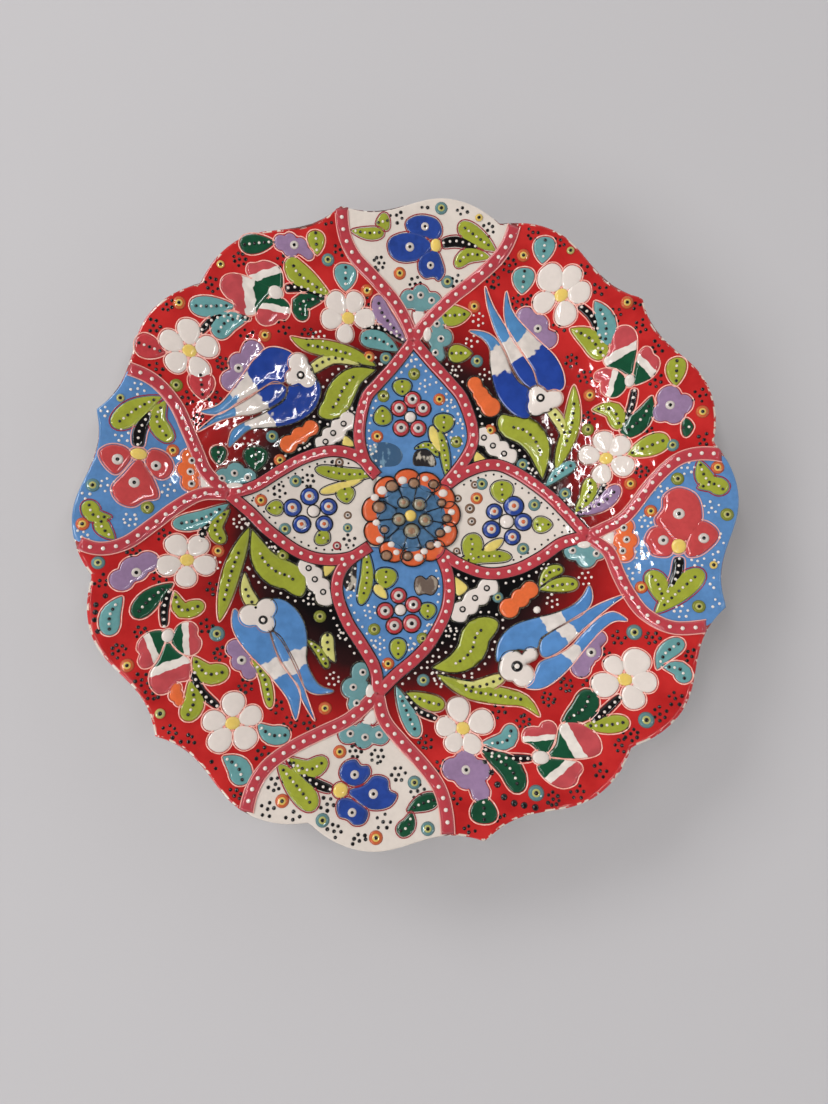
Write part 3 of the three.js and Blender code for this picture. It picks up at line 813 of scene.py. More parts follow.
line_slip = field_slip()
white_enamel = glaze("white_enamel", colour(222, 210, 201), streak=0.03, edge_shade=0.82)
yellow_enamel = glaze("yellow_enamel", colour(226, 194, 100), streak=0.06, edge_shade=0.86)
for place, (middle, *petals) in WHITE_FLOWERS.items():
    x, y = middle
    outlines = [flower_petal(x, y, direction, radius) for direction, radius in petals]
    heart = oval(x, y, 3.9, 3.5)
    name = f"white_flower_{place}"
    layers = [([coat(line, 0.24, 0.7, 1.2, base=COAT, dome=0.1) for line in outlines], white_enamel),
              ([coat(heart, 0.36, 0.7, 1.0, base=COAT, dome=0.15)], yellow_enamel)]
    add_piece(name, joined(name, layers), [name])
    trailed(f"{name}_lines", [around(line) for line in outlines + [heart]], line_slip)

# ---------------------------------------------------------------- tricolour flowers
# A three-petalled flower in each red corner. Each petal runs from a dark green heart through
# a white band to a pink lobed edge, and a white button covers the middle.
# A flower is its button, and then for each petal its outline, where the white starts and
# where it ends.
TRICOLOUR_FLOWERS = {
    "upper_left": [
        (-38, 63.8, 4.2, 3.7),
        ([(-36.4, 64.6), (-35.8, 67.5), (-36.5, 69.8), (-38.5, 71), (-41, 71.3), (-43, 70.5), (-45, 70.2),
          (-45.7, 68.6), (-45, 67), (-43, 65.9), (-40, 64.8)], (-39.2, 67.6), (-39.9, 69.4)),
        ([(-39.4, 65), (-44, 66.5), (-49, 67.2), (-52, 65.8), (-52.6, 63), (-51, 60.9), (-49.4, 60.2),
          (-49.2, 58), (-46.5, 56.8), (-43.5, 57.8), (-42, 60), (-39.8, 62.6)], (-43.6, 62.4), (-46.6, 62)),
        ([(-39.6, 62.4), (-42, 60.5), (-43.5, 58), (-43, 55.8), (-41, 55), (-38.5, 55.8), (-37.4, 57),
          (-35.5, 57), (-34.2, 58.8), (-34.3, 61), (-36.4, 62.6)], (-38.4, 60.6), (-38.6, 58.9)),
    ],
    "upper_right": [
        (62.8, 38.2, 2.9, 3.5),
        ([(62.5, 39.6), (59.8, 41.6), (57.2, 42.4), (55.8, 44.8), (57.6, 47.4), (57.4, 50.6), (59.4, 52.8),
          (62, 52.8), (64, 50.6), (64.4, 47), (64, 43.4), (63.4, 40)], (60.8, 44.7), (59.8, 46.8)),
        ([(62, 38.6), (60.4, 40.6), (58.4, 42), (55.6, 42.2), (53.6, 41.2), (53.8, 39.4), (55.4, 38.6),
          (55.4, 36.2), (57.4, 34.4), (60, 34.4), (62, 36.6)], (59, 38.2), (57.5, 38.6)),
        ([(63.6, 37), (66.4, 37.4), (68.8, 38.6), (70.3, 41), (70, 43.2), (68.6, 44.4), (68, 46),
          (66.4, 46.6), (64.8, 45), (64.2, 42.4), (63.8, 39.4)], (66.1, 41), (67.5, 42.2)),
    ],
    "lower_right": [
        (34.8, -66.2, 4.6, 3.6),
        ([(34.4, -64.6), (32.4, -62.8), (30.4, -62), (31, -59.2), (33.4, -58.4), (35, -58.6), (36, -57.2),
          (38.4, -57), (39.6, -58.8), (38.8, -61.6), (37.4, -64.2), (36, -65.2)], (35.3, -62), (35.2, -60.6)),
        ([(36.8, -65.8), (39, -63), (39.8, -60), (41, -57.6), (44, -57), (47.6, -58.2), (50.2, -61.4),
          (50, -64.8), (46.6, -66.2), (42, -66.4)], (41.8, -62.8), (44.4, -61.4)),
        ([(35.4, -67.4), (33.8, -68.4), (34.6, -70.6), (37, -72.8), (40, -73.8), (43, -72.8), (44, -70.8),
          (45.2, -69.2), (44.4, -67.4), (41, -66.8), (37.4, -66.4)], (38, -69.1), (39.2, -70.7)),
    ],
    "lower_left": [
        (-65, -33.7, 3.2, 3.7),
        ([(-66.2, -32.4), (-69.4, -32.8), (-71.6, -35), (-72, -37.6), (-71, -38.6), (-71.4, -40.6),
          (-70.2, -42.4), (-68.2, -42), (-66.8, -39.6), (-65.8, -36.6), (-65.4, -34.8)],
         (-67.9, -36.2), (-69.4, -37)),
        ([(-63.8, -34), (-63, -31.4), (-61.4, -30), (-59.2, -30), (-57.8, -31.6), (-57.8, -33.4),
          (-56.6, -35), (-57, -37.6), (-59.4, -39), (-62, -37.8), (-63.8, -35.6)],
         (-61.2, -34.2), (-59.7, -34)),
        ([(-65.2, -35.2), (-66.4, -40), (-68.2, -43.6), (-67.8, -47), (-65.6, -49.2), (-63, -48.4),
          (-61.4, -46), (-59, -45.4), (-58.4, -43), (-59.2, -40), (-62, -38), (-64.4, -35.6)],
         (-63.7, -40.4), (-62.8, -42.5)),
    ],
}


def banded_enamel(name, tints):
    """Enamels laid side by side in one cell. The attribute `along` is 0 where the second
    starts and 1 where the third starts, and the joints are scalloped."""
    made, wire = new_material(name)
    wavy = attribute(wire, "along") + (wire.noise(450, 1) - 0.5) * 0.55
    pool = wire.noise(300, 4).step(0.3, 0.7)
    first, second, third = (wire.blend(pool, shade(tint, 0.88), shade(tint, 1.1)) for tint in tints)
    base = wire.blend(wavy.step(-0.02, 0.05), first, second)
    wet_gloss(wire, wire.blend(wavy.step(0.98, 1.05), base, third))
    return made


def banded_petals(petals, thick, lift):
    """Coats for petals given as (outline, where the second colour starts, where it ends), with
    the measure that `along` holds for each corner point."""
    coats, measures = [], []
    for place, (shape, first, last) in enumerate(petals):
        first, last = on_plate([first, last])
        way = last - first
        made = coat(shape, thick, 0.7, 1.2, base=COAT + lift * place, dome=0.08)
        coats.append(made)
        measures.append(((made[0][:, :2] - first) @ way) / (way @ way))
    return coats, measures


def banded_flower(name, petals, thick, lift, paint, crown):
    """One piece of banded petals, each `lift` higher than the one before it, under a crown of
    white enamel."""
    coats, measures = banded_petals(petals, thick, lift)
    mesh = joined(name, [(coats, paint), ([crown], white_enamel)])
    mark_points(mesh, "along", np.concatenate(measures + [np.zeros(len(crown[0]))]))
    add_piece(name, mesh, [name])


tricolour_enamel = banded_enamel(
    "tricolour_enamel", [colour(22, 76, 50), colour(226, 216, 206), colour(186, 74, 78)]
)
for corner, (button, *petals) in TRICOLOUR_FLOWERS.items():
    petals = [(spline(shape, 3, closed=True), first, last) for shape, first, last in petals]
    button = oval(*button)
    name = f"tricolour_flower_{corner}"
    crown = coat(button, 0.5, 0.8, 1.0, base=COAT, dome=0.25)
    banded_flower(name, petals, 0.24, 0.0, tricolour_enamel, crown)
    shapes = [shape for shape, *_ in petals] + [button]
    trailed(f"{name}_lines", [around(shape, 0.2) for shape in shapes], line_slip)

# ---------------------------------------------------------------- tulips
# The big flower of each corner: three overlapping petals of cobalt or sky blue with a white
# band and drawn out sky blue tips, and a white bud with a ringed eye where they meet.
# A petal is its outline, where the white starts, and where it ends.
TULIPS = {
    "upper_left": [
        ([(-35.3, 38), (-38.5, 39.6), (-42, 37.4), (-46, 34.3), (-51, 31), (-55, 28.7), (-60, 23.7),
          (-55, 26.8), (-50, 28.9), (-45, 29.8), (-41, 31.5), (-37.5, 33.5), (-35.3, 36)],
         (-42.3, 35), (-49.5, 30.3)),
        ([(-36, 39.6), (-34, 44), (-33.2, 47.5), (-37, 49.2), (-41, 48.7), (-45, 44.5), (-50, 37),
          (-54, 32), (-59, 29.6), (-54, 29.3), (-49, 33), (-44, 36.3), (-40, 38.9)],
         (-43.8, 38.8), (-49, 34.1)),
        ([(-34.7, 38.4), (-35.8, 34.5), (-39, 32), (-43.5, 29.3), (-48, 27), (-50.7, 24.5),
          (-51.4, 20), (-48.5, 22.8), (-45.5, 25.5), (-41, 26.2), (-36, 26.9), (-31, 28.8),
          (-27, 32.5), (-25.4, 38), (-27.5, 41.5), (-31, 41)], (-39.2, 29.5), (-46, 27)),
    ],
    "upper_right": [
        ([(37.6, 38.7), (35.6, 38), (32.5, 41), (30.2, 45), (28, 50), (25.5, 54.5), (24, 58.5),
          (22.8, 62.5), (22.2, 67), (24.5, 62), (27, 58), (30, 53.5), (33.5, 48), (36.5, 43)],
         (31.6, 46.8), (28.2, 51.8)),
        ([(38, 39), (36.5, 43.5), (33.5, 48), (30, 53), (28.2, 57.5), (27.8, 61.5), (28.4, 65.4),
          (30, 60.5), (33, 56.5), (38, 51.5), (42.5, 47), (45, 42), (45, 37.8), (41.5, 37.2)],
         (37, 48.7), (33, 53.3)),
        ([(36, 37.5), (32.5, 40), (30, 43.8), (28.5, 48), (26, 52.3), (22.5, 54.7), (17.7, 55.2),
          (21.5, 53), (23.8, 50), (24, 46), (25, 40), (27, 34.8), (31, 30.5), (35, 29.5), (36, 33)],
         (27.5, 42.8), (25.4, 50.4)),
    ],
    "lower_right": [
        ([(36.5, -38.4), (36.8, -35), (39, -33.2), (44, -30.3), (49, -27.3), (54, -24.6),
          (60.5, -22.3), (56.5, -25.3), (52, -29), (48, -32.5), (45, -35.5), (41.5, -38.3),
          (38, -39.8)], (43.2, -34.2), (46.3, -31.4)),
        ([(34, -38), (30.5, -37.6), (28, -39), (24.6, -41), (24.7, -37), (26.5, -33.5),
          (30, -30.7), (35, -29), (41, -27.5), (46, -25.3), (49, -22.5), (50.8, -19.6), (51.6, -22),
          (51, -25), (48.3, -28), (44.5, -30), (40, -32.5), (37.3, -34.5), (36, -37)],
         (38.6, -31.5), (43.9, -29)),
        ([(36.5, -41), (41, -39.2), (45, -36.7), (48, -33.5), (53, -28.8), (57, -27.2),
          (60.4, -29.8), (57, -29.8), (53.5, -32.2), (49, -37), (44.5, -42.3), (40, -46.3),
          (36, -48.3), (32, -47.8), (34.5, -44.5)], (43.6, -40), (47.2, -37)),
    ],
    "lower_left": [
        ([(-38.5, -32.6), (-36, -33.6), (-33.5, -37.5), (-30.8, -42.5), (-29, -47.5),
          (-27.5, -51.5), (-25.6, -56.7), (-29, -51.5), (-30.3, -48), (-32.3, -44.8), (-35, -41),
          (-37, -37)], (-34, -40.2), (-31.6, -44.2)),
        ([(-38.5, -23.5), (-35, -23.7), (-31.5, -26.5), (-29.2, -30.5), (-28.4, -35),
          (-28.5, -40), (-27, -44), (-24.5, -47.3), (-20.6, -48.8), (-25, -49.6), (-28.3, -48.2),
          (-30.3, -44.5), (-32.5, -40), (-35, -35.5), (-37.5, -32.3), (-38.5, -28)],
         (-31, -37.3), (-29.3, -41.8)),
        ([(-38.7, -32.6), (-42, -30.5), (-46, -28.5), (-48.5, -26), (-49, -30), (-47.5, -34),
          (-44, -38.5), (-40, -42.5), (-36, -47), (-33, -51), (-30.8, -56.3), (-29.8, -52),
          (-30.2, -48), (-32.5, -45), (-35.5, -41), (-37.5, -36.5)], (-37.8, -40.3), (-35.2, -45)),
    ],
}
# The white bud of each tulip: its lobes as (x, y, radius), and its eye.
TULIP_BUDS = {
    "upper_left": ([(-32, 45.2, 2.9), (-29.3, 40.4, 2.7), (-33.3, 41, 2.4), (-30.5, 42.8, 2.8)],
                   (-31.2, 41.7, 2.4)),
    "upper_right": ([(37.6, 36, 2.9), (37.3, 32.9, 2.8), (42.3, 34.9, 2.6), (39.8, 34, 3.0)],
                    (38.5, 35.2, 2.5)),
    "lower_right": ([(29, -41.5, 3.6), (34, -38.8, 1.9), (31.5, -44.6, 3.2), (28.2, -43, 3.2)],
                    (30, -42.2, 3.2)),
    "lower_left": ([(-39.9, -26, 2.9), (-44.2, -28, 3.1), (-39.8, -30.2, 2.5), (-41.5, -28, 3)],
                   (-40.6, -29.2, 2.6)),
}


def cloud(lobes, steps=48):
    """Closed outline round a few overlapping round lobes, each (x, y, radius)."""
    lobes = np.array(lobes, float)
    middle = np.average(lobes[:, :2], axis=0, weights=lobes[:, 2])
    angles = np.arange(steps) * 2 * math.pi / steps
    ways = np.stack([np.cos(angles), np.sin(angles)], 1)
    reach = np.full(steps, 0.5)
    for x, y, radius in lobes:
        away = np.array([x, y]) - middle
        forward = ways @ away
        room = radius**2 - (away @ away - forward**2)
        reach = np.maximum(reach, np.where(room > 0, forward + np.sqrt(np.maximum(room, 0)), 0))
    return middle + ways * reach[:, None]


def eyes(name, places, rings, lift=0.06):
    """Concentric drops of enamel. Each ring is (share of the width, height share, paint), and
    sits on the shoulder of the one before it."""
    shoulder = 0.62
    for step, (share, tall, paint) in enumerate(rings):
        spots = [(x, y, width * share) for x, y, width in places]
        dotted(f"{name}_{step + 1}", spots, paint, lift, tall, segments=18)
        lift += 0.5 * tall * share * places[0][2] * shoulder


cobalt_tulip = banded_enamel(
    "cobalt_tulip_enamel", [colour(36, 64, 144), colour(214, 203, 194), colour(80, 132, 180)]
)
sky_tulip = banded_enamel(
    "sky_tulip_enamel", [colour(84, 132, 186), colour(218, 208, 200), colour(80, 130, 186)]
)
for corner, petals in TULIPS.items():
    name = f"tulip_{corner}"
    paint = cobalt_tulip if corner.startswith("upper") else sky_tulip
    lobes, eye = TULIP_BUDS[corner]
    bud = cloud(lobes, 64)
    petals = [(spline(shape, 4, closed=True), first, last) for shape, first, last in petals]
    crown = coat(bud, 0.42, 0.9, 1.0, base=COAT, dome=0.15)
    banded_flower(name, petals, 0.26, 0.03, paint, crown)
    lines = [around(shape, 0.1) for shape, *_ in petals] + [around(bud, 0.1)]
    trailed(f"{name}_lines", lines, line_slip, lift=0.22)
tulip_eyes = [eye for _, eye in TULIP_BUDS.values()]
eyes("tulip_eyes", tulip_eyes, [(1.0, 0.14, black_slip), (0.52, 0.3, white_slip)], 0.55)

# ---------------------------------------------------------------- leaves and stems
# Green, teal, rose and purple leaves brushed between the flowers, on black stems. A row of
# black and white slip drops runs down each leaf, and white drops run down each stem.
# A leaf is its places from the round end to the tip, and its width.
BROAD_LEAVES = {
    "upper_left": [(-26, 30.5), (-21.5, 33), (-19, 38), (-15.5, 42), (-9.5, 44)],
    "upper_right": [(27.3, 30.5), (29.5, 27.3), (34.5, 25.5), (38, 20.5), (39, 11.5)],
    "lower_left": [(-30.3, -22.5), (-33, -17.5), (-37.5, -15.5), (-41.5, -11.5), (-44.5, -3.5)],
    "lower_right": [(25.3, -30), (19.5, -33), (17.5, -38), (13, -41.5), (6.5, -42.7)],
}
SLIM_LEAVES = {
    "upper_left": [(-34, 52.5), (-30, 50.6), (-24, 49.8), (-16, 48), (-9.5, 45.2)],
    "upper_right": [(48, 38.5), (47.8, 31), (46.8, 25), (44.5, 19), (42.8, 13.5)],
    "lower_left": [(-52.3, -29.5), (-51, -22), (-49.5, -15), (-47.5, -9), (-45.3, -3)],
    "lower_right": [(35.4, -55.6), (31.5, -51.5), (25, -50.2), (16, -48.6), (8, -44.6)],
}
# The leaves beside the tulips: places by corner, width, and how round and how pointed.
TULIP_LEAVES = {"broad": (BROAD_LEAVES, 8.0, 0.6, 1.0), "slim": (SLIM_LEAVES, 4.8, 0.8, 0.8)}
SMALL_LEAVES = {
    "lime": [
        ((-33.3, 73), (-32, 69.5), (-27, 66.3), (-22.6, 64.4), 6.2), ((-26.3, 79.8), (-26, 74), 4.8),
        ((9.5, 59.5), (14.2, 59.5), (18.3, 60), 5.8), ((11.8, 48.8), (18.8, 48.8), 5.2),
        ((55.8, 45), (52.5, 50.3), (46.5, 54), 5.8), ((74.7, 42.8), (74.7, 35.2), 5.2),
        ((73, 21), (67.5, 19.3), (62, 17.4), 6.0), ((60.5, 25), (58.6, 30.5), (53, 31.2), 5.0),
        ((52.2, 11.5), (51.6, 6), (47.6, 1), 4.6), ((-52, -7.5), (-54.6, -3), (-50.8, 2.2), 4.2),
        ((-56.5, -24.8), (-62, -26.6), (-64.2, -21.5), 4.6),
        ((-49, -43), (-54.5, -43.8), (-58.2, -39.2), 5.6), ((-58.8, -56), (-57, -51), (-58.6, -45.6), 5.4),
        ((-37.6, -53), (-39.6, -45), (-43.8, -39.6), 2.8), ((-22.6, -42.5), (-25, -38), (-28.7, -34.6), 2.4),
        ((9.8, -52.8), (5, -51.8), (-0.8, -49.4), 4.4), ((58, -56.8), (52, -57.8), (46.2, -58), 4.6),
        ((44, -14.8), (40, -16), (37.2, -20.2), 3.4), ((48, -19.2), (43, -19.4), (37.2, -20.7), 4.2),
    ],
    "teal": [
        ((-61, 57.4), (-55.5, 57.9), (-49, 59), 5.2), ((-54.5, 50.3), (-51.5, 54.5), (-45.5, 56.4), 5.6),
        ((-18, 72.5), (-18.2, 65.6), 6.4), ((-14, 52.8), (-9, 52.8), (-2.8, 49.6), 5.6),
        ((38.8, 78.2), (38.2, 71.6), 6.0), ((33.3, 71), (32.8, 64.4), 6.2),
        ((56, 48.2), (56, 54.5), (52.8, 60.4), 5.8), ((48.4, 15.8), (44, 13.5), (39.8, 9.2), 3.8),
        ((-65.6, -2.8), (-58, -0.8), (-51, 3.8), 5.0), ((-78.6, -34), (-79, -28.5), (-76.6, -23.4), 5.0),
        ((-32, -60), (-37, -60), (-40.6, -57), 5.0), ((-43, -72.4), (-44.6, -68), (-48.6, -65.2), 5.6),
        ((2.4, -61), (-0.4, -55), (-3.6, -47.6), 4.4), ((27.8, -57.8), (26, -62), (19.6, -62.6), 4.6),
        ((73.4, -35.6), (68.8, -38.8), (66.4, -43.2), 4.6), ((72.6, -47), (72, -43.4), (67.6, -42.4), 4.4),
    ],
    "dark_green": [
        ((-47.2, 74.4), (-42.5, 75.4), (-37.6, 76.2), 4.8), ((-30, 57.2), (-31, 61.6), (-24.2, 63.4), 4.8),
        ((61, 23.4), (66.4, 27.8), (68.8, 33.4), 5.8), ((76.2, 23.5), (79.2, 23.5), 5.2),
        ((-73.4, -29), (-69.8, -23.6), (-64.6, -19.2), 5.4), ((19, -82.5), (19.2, -75.6), 7.0),
        ((28.4, -75), (26.6, -69), (19.2, -64.6), 6.2), ((49, -48.4), (47, -53.4), (41, -57), 6.4),
        ((-54.2, 20.4), (-53.8, 14.8), 4.4), ((-43.8, 20.6), (-43.8, 13.4), 6.8),
    ],
    "rose": [((-75, 46), (-67.6, 44.2), 6.4), ((-58.8, 40.6), (-58.2, 33), 6.8)],
    "purple": [
        ((-8.8, 65), (-7.6, 60), (-0.4, 51.8), 5.2), ((60, 8.8), (55.5, 4.2), (47.2, 0.7), 4.8),
    ],
}
YELLOW_LEAVES = [
    ((-29.4, 42.6), (-22, 47), (-13.5, 45.1), 3.2), ((40.6, 33), (44.6, 27), (46.2, 19.6), 3.2),
    ((26.6, -45), (18, -47.9), (9.6, -45.2), 3.6), ((-42.2, -26.6), (-45.4, -21.4), (-46.2, -15.8), 3.6),
    ((-22.8, -33), (-22.6, -37), (-20.6, -41), 3.6),
]
STEMS = [
    ((-35.3, 65), (-30, 65.6), (-24, 63.3), 2.2), ((-58.6, 51), (-55, 54.7), (-50, 56.2), (-45, 56.3), 2.0),
    ((-13.4, 56.2), (-7, 55.6), (-0.8, 52.3), 2.0), ((48.6, 59.8), (52.5, 56), (55, 50), (55.6, 45.8), 2.0),
    ((64.2, 35.8), (63.4, 31), (61.4, 26.3), 2.0), ((56.4, 10), (52.4, 3.6), (46.8, 0.6), 2.2),
    ((-55.6, -1.4), (-57.4, -4), (-58.2, -7), 2.2), ((-65.4, -21.2), (-66.4, -26), (-66, -31.2), 2.2),
    ((-57.6, -42.6), (-56, -48), (-50.8, -52.6), 2.4), ((-1.2, -49.8), (2.5, -54), (7.8, -56.5), 2.0),
    ((19.6, -63.8), (25, -66.2), (32.8, -66.4), 2.2), ((48.8, -57.2), (52.5, -54), (56.8, -50.2), 2.4),
]
LEAF_PAINTS = {
    "lime": glaze("lime_enamel", colour(152, 158, 54), edge_shade=0.62),
    "teal": glaze("teal_enamel", colour(102, 152, 152), edge_shade=0.7),
    "dark_green": glaze("dark_green_enamel", colour(24, 72, 48), streak=0.2, edge_shade=0.6),
    "rose": glaze("rose_leaf_enamel", colour(186, 62, 66), edge_shade=0.85),
    "purple": glaze("purple_enamel", colour(146, 118, 150), edge_shade=0.72),
}
lime_paint = LEAF_PAINTS["lime"]


def brushed(name, outlines, paint, nodes=(), line_paint=line_slip, thick=0.22, dome=0.06):
    """Cells of one enamel with a trailed line round each."""
    coats = [coat(outline, thick, 0.6, 1.1, base=COAT, dome=dome) for outline in outlines]
    add_piece(name, joined(name, [(coats, paint)]), nodes)
    trailed(f"{name}_lines", [around(line) for line in outlines], line_paint)


def leaf_drops(places, start=0.16, end=0.84, step=1.35):
    """Places down the middle of a leaf, a step apart, from one share of its length to another."""
    fine = 4
    line = spaced(spline(places, 8), step / fine)
    first, last = int(len(line) * start), int(len(line) * end)
    return line[first:last + 1:fine]


def sized(places, width):
    """The same places, each with a drop's width."""
    return [(x, y, width) for x, y in places]


vein_spots = []
tulip_leaf_outlines = []
for corner in CORNERS:
    for label, (leaves, *shape) in TULIP_LEAVES.items():
        name = f"{label}_leaf_{corner}"
        tulip_leaf_outlines.append(leaf(leaves[corner], *shape, 19))
        brushed(name, tulip_leaf_outlines[-1:], lime_paint, [name])
        vein_spots.append(leaf_drops(leaves[corner], 0.22, 0.72))
for label, leaves in SMALL_LEAVES.items():
    shapes = [leaf(places, width, 0.45, 0.85) for *places, width in leaves]
    brushed(f"{label}_leaves", shapes, LEAF_PAINTS[label])
    vein_spots += [leaf_drops(places) for *places, _ in leaves]
shapes = [leaf(places, width, 0.4, 0.9) for *places, width in YELLOW_LEAVES]
pale_lime = glaze("pale_lime_enamel", colour(204, 200, 118), edge_shade=0.7)
brushed("bud_leaves", shapes, pale_lime)
black_spots = [spot for *places, _ in YELLOW_LEAVES
               for spot in sized(leaf_drops(places, 0.1, 0.7, 2.0), 0.95)]
white_spots = []
for line in vein_spots:
    black_spots += sized(line[::2], 0.95)
    white_spots += sized(line[1::2], 0.8)
shapes = [leaf(places, width, 0.12, 0.2) for *places, width in STEMS]
brushed("flower_stems", shapes, black_slip, dome=0.0)
for *places, _ in STEMS:
    white_spots += sized(leaf_drops(places, 0.08, 0.98, 1.9), 0.85)
ON_LEAF = 0.36
dotted("leaf_drops_black", black_spots, black_slip, ON_LEAF, 0.5)
dotted("leaf_drops_white", white_spots, white_slip, ON_LEAF)

# ---------------------------------------------------------------- buds and clouds
# Lobed shapes that fill the ground: purple and dark green buds, orange pebbles, white clouds
# with black rings, and the scalloped teal fans beside the crossings of the bands.
# Each is a list of round lobes (x, y, radius).
PURPLE_BUDS = [
    [(-36, 76.2, 1.9), (-33.4, 76.8, 1.9), (-30.6, 75.8, 2), (-33.4, 75, 2.2), (-28.4, 74, 1.4)],
    [(-44.6, 47.6, 3.1), (-48.2, 43.8, 3), (-50.6, 39, 2.9), (-47, 41.6, 2.4)],
    [(34, 58.2, 2.7), (37.4, 55.6, 3.1), (40.6, 51.8, 2.5), (38.6, 53, 2.4)],
    [(73, 32.5, 3), (76.2, 30, 2.8), (74.6, 27.4, 2.4), (71.4, 28.6, 2.6), (73.6, 30, 3)],
    [(-77, -19, 2.9), (-74.2, -15.8, 3.4), (-71.2, -13.6, 2.8)],
    [(-47.6, -37, 2.5), (-46, -40.4, 2.6), (-43.6, -43.4, 2)],
    [(11.4, -69.2, 2.8), (15, -67.4, 3), (18.6, -69.6, 2.8), (15, -71, 3.2), (18.4, -74.8, 2.6)],
    [(52.4, -34.6, 2.2), (50.2, -38, 2.8), (47.2, -42.6, 2.6), (48.6, -40.2, 2.4)],
]
ORANGE_PEBBLES = [
    [(-34.6, 21.6, 2.6), (-31.4, 24.2, 2.5), (-28.4, 26.4, 2.4)],
    [(19.6, 39.8, 2.2), (21.3, 36.8, 2.3), (24.2, 33, 2.9), (22.4, 35, 2.4)],
    [(28.6, -26, 2.8), (31.8, -23.2, 2.6), (34.6, -20.8, 2.4)],
    [(-61.5, -49.5, 1.6), (-61.8, -47.6, 1.4), (-60.4, -51, 1.3)],
]
# A white cloud is its two ends.
WHITE_CLOUDS = [[(-26.2, 20), (-16, 30.8)], [(20, 26), (31.2, 16.6)],
                [(-30.4, -11.8), (-22, -25)], [(25.2, -18.2), (12.4, -29.2)]]
TEAL_FANS = [
    [(-52.6, 11.6, 2.4), (-49.4, 13.2, 2.6), (-46, 11.8, 2.4), (-49.2, 11, 2.4)],
    [(8.4, 57.6, 2.4), (10.4, 53.4, 2.6), (8.6, 48.8, 2.4), (8.4, 53, 2.6)],
    [(47, -9.8, 2.6), (50.4, -11.8, 2.8), (53.6, -9.8, 2.5), (50.2, -10.4, 2.6)],
    [(-13.4, -43.6, 2.6), (-15.8, -48, 2.8), (-14.4, -52.2, 2.5), (-13.6, -48, 2.6)],
]
FAN_BUTTONS = [(-49.4, 8.9, 5, 2.2, 0), (5.6, 54.4, 2.6, 4.2, 0), (50, -7.9, 4, 2.4, 0),
               (-10.8, -49, 2.6, 4, 0)]
CORNER_WEDGES = [[(-18.4, 24.4), (-15.4, 21.6), (-19, 21.4)], [(19.8, 19.8), (23, 17), (19.6, 16.4)],
                 [(-23.6, -17), (-20.6, -13.6), (-24, -13.4)], [(12.6, -16.8), (17, -20), (14, -22.4)]]


def scalloped(ends):
    """Closed outline of a long cloud, with four round lobes on one side and three on the other."""
    width, notch = 6.0, 0.66
    line, share = spread(spline(ends, 10), 45)
    side = leftward(line)
    blunt = np.sqrt(1 - (2 * share - 1) ** 6) * width / 2
    four, three = (side * (blunt * (notch + (1 - notch) * np.abs(np.sin(math.pi * lobes * share))))[:, None]
                   for lobes in (4, 3))
    return np.concatenate([line + four, (line - three)[-2:0:-1]])


fan_teal = glaze("fan_teal_enamel", colour(106, 148, 150), edge_shade=0.7)
orange_enamel = glaze("orange_enamel", colour(220, 104, 56), edge_shade=0.75)
for label, groups, paint, slot_name in (
    ("purple_buds", PURPLE_BUDS, LEAF_PAINTS["purple"], "sky_enamel"),
    ("orange_pebbles", ORANGE_PEBBLES, orange_enamel, "coral_enamel"),
    ("teal_fans", TEAL_FANS, fan_teal, "sky_enamel"),
):
    brushed(label, [cloud(lobes) for lobes in groups], paint)
brushed("white_clouds", [scalloped(ends) for ends in WHITE_CLOUDS], white_enamel)
brushed("fan_buttons", [oval(*spec) for spec in FAN_BUTTONS], white_enamel, thick=0.5)
wedges = [spline(wedge, 5, closed=True) for wedge in CORNER_WEDGES]
pale_yellow = glaze("pale_yellow_enamel", colour(222, 200, 110), edge_shade=0.8)
brushed("corner_wedges", wedges, pale_yellow)

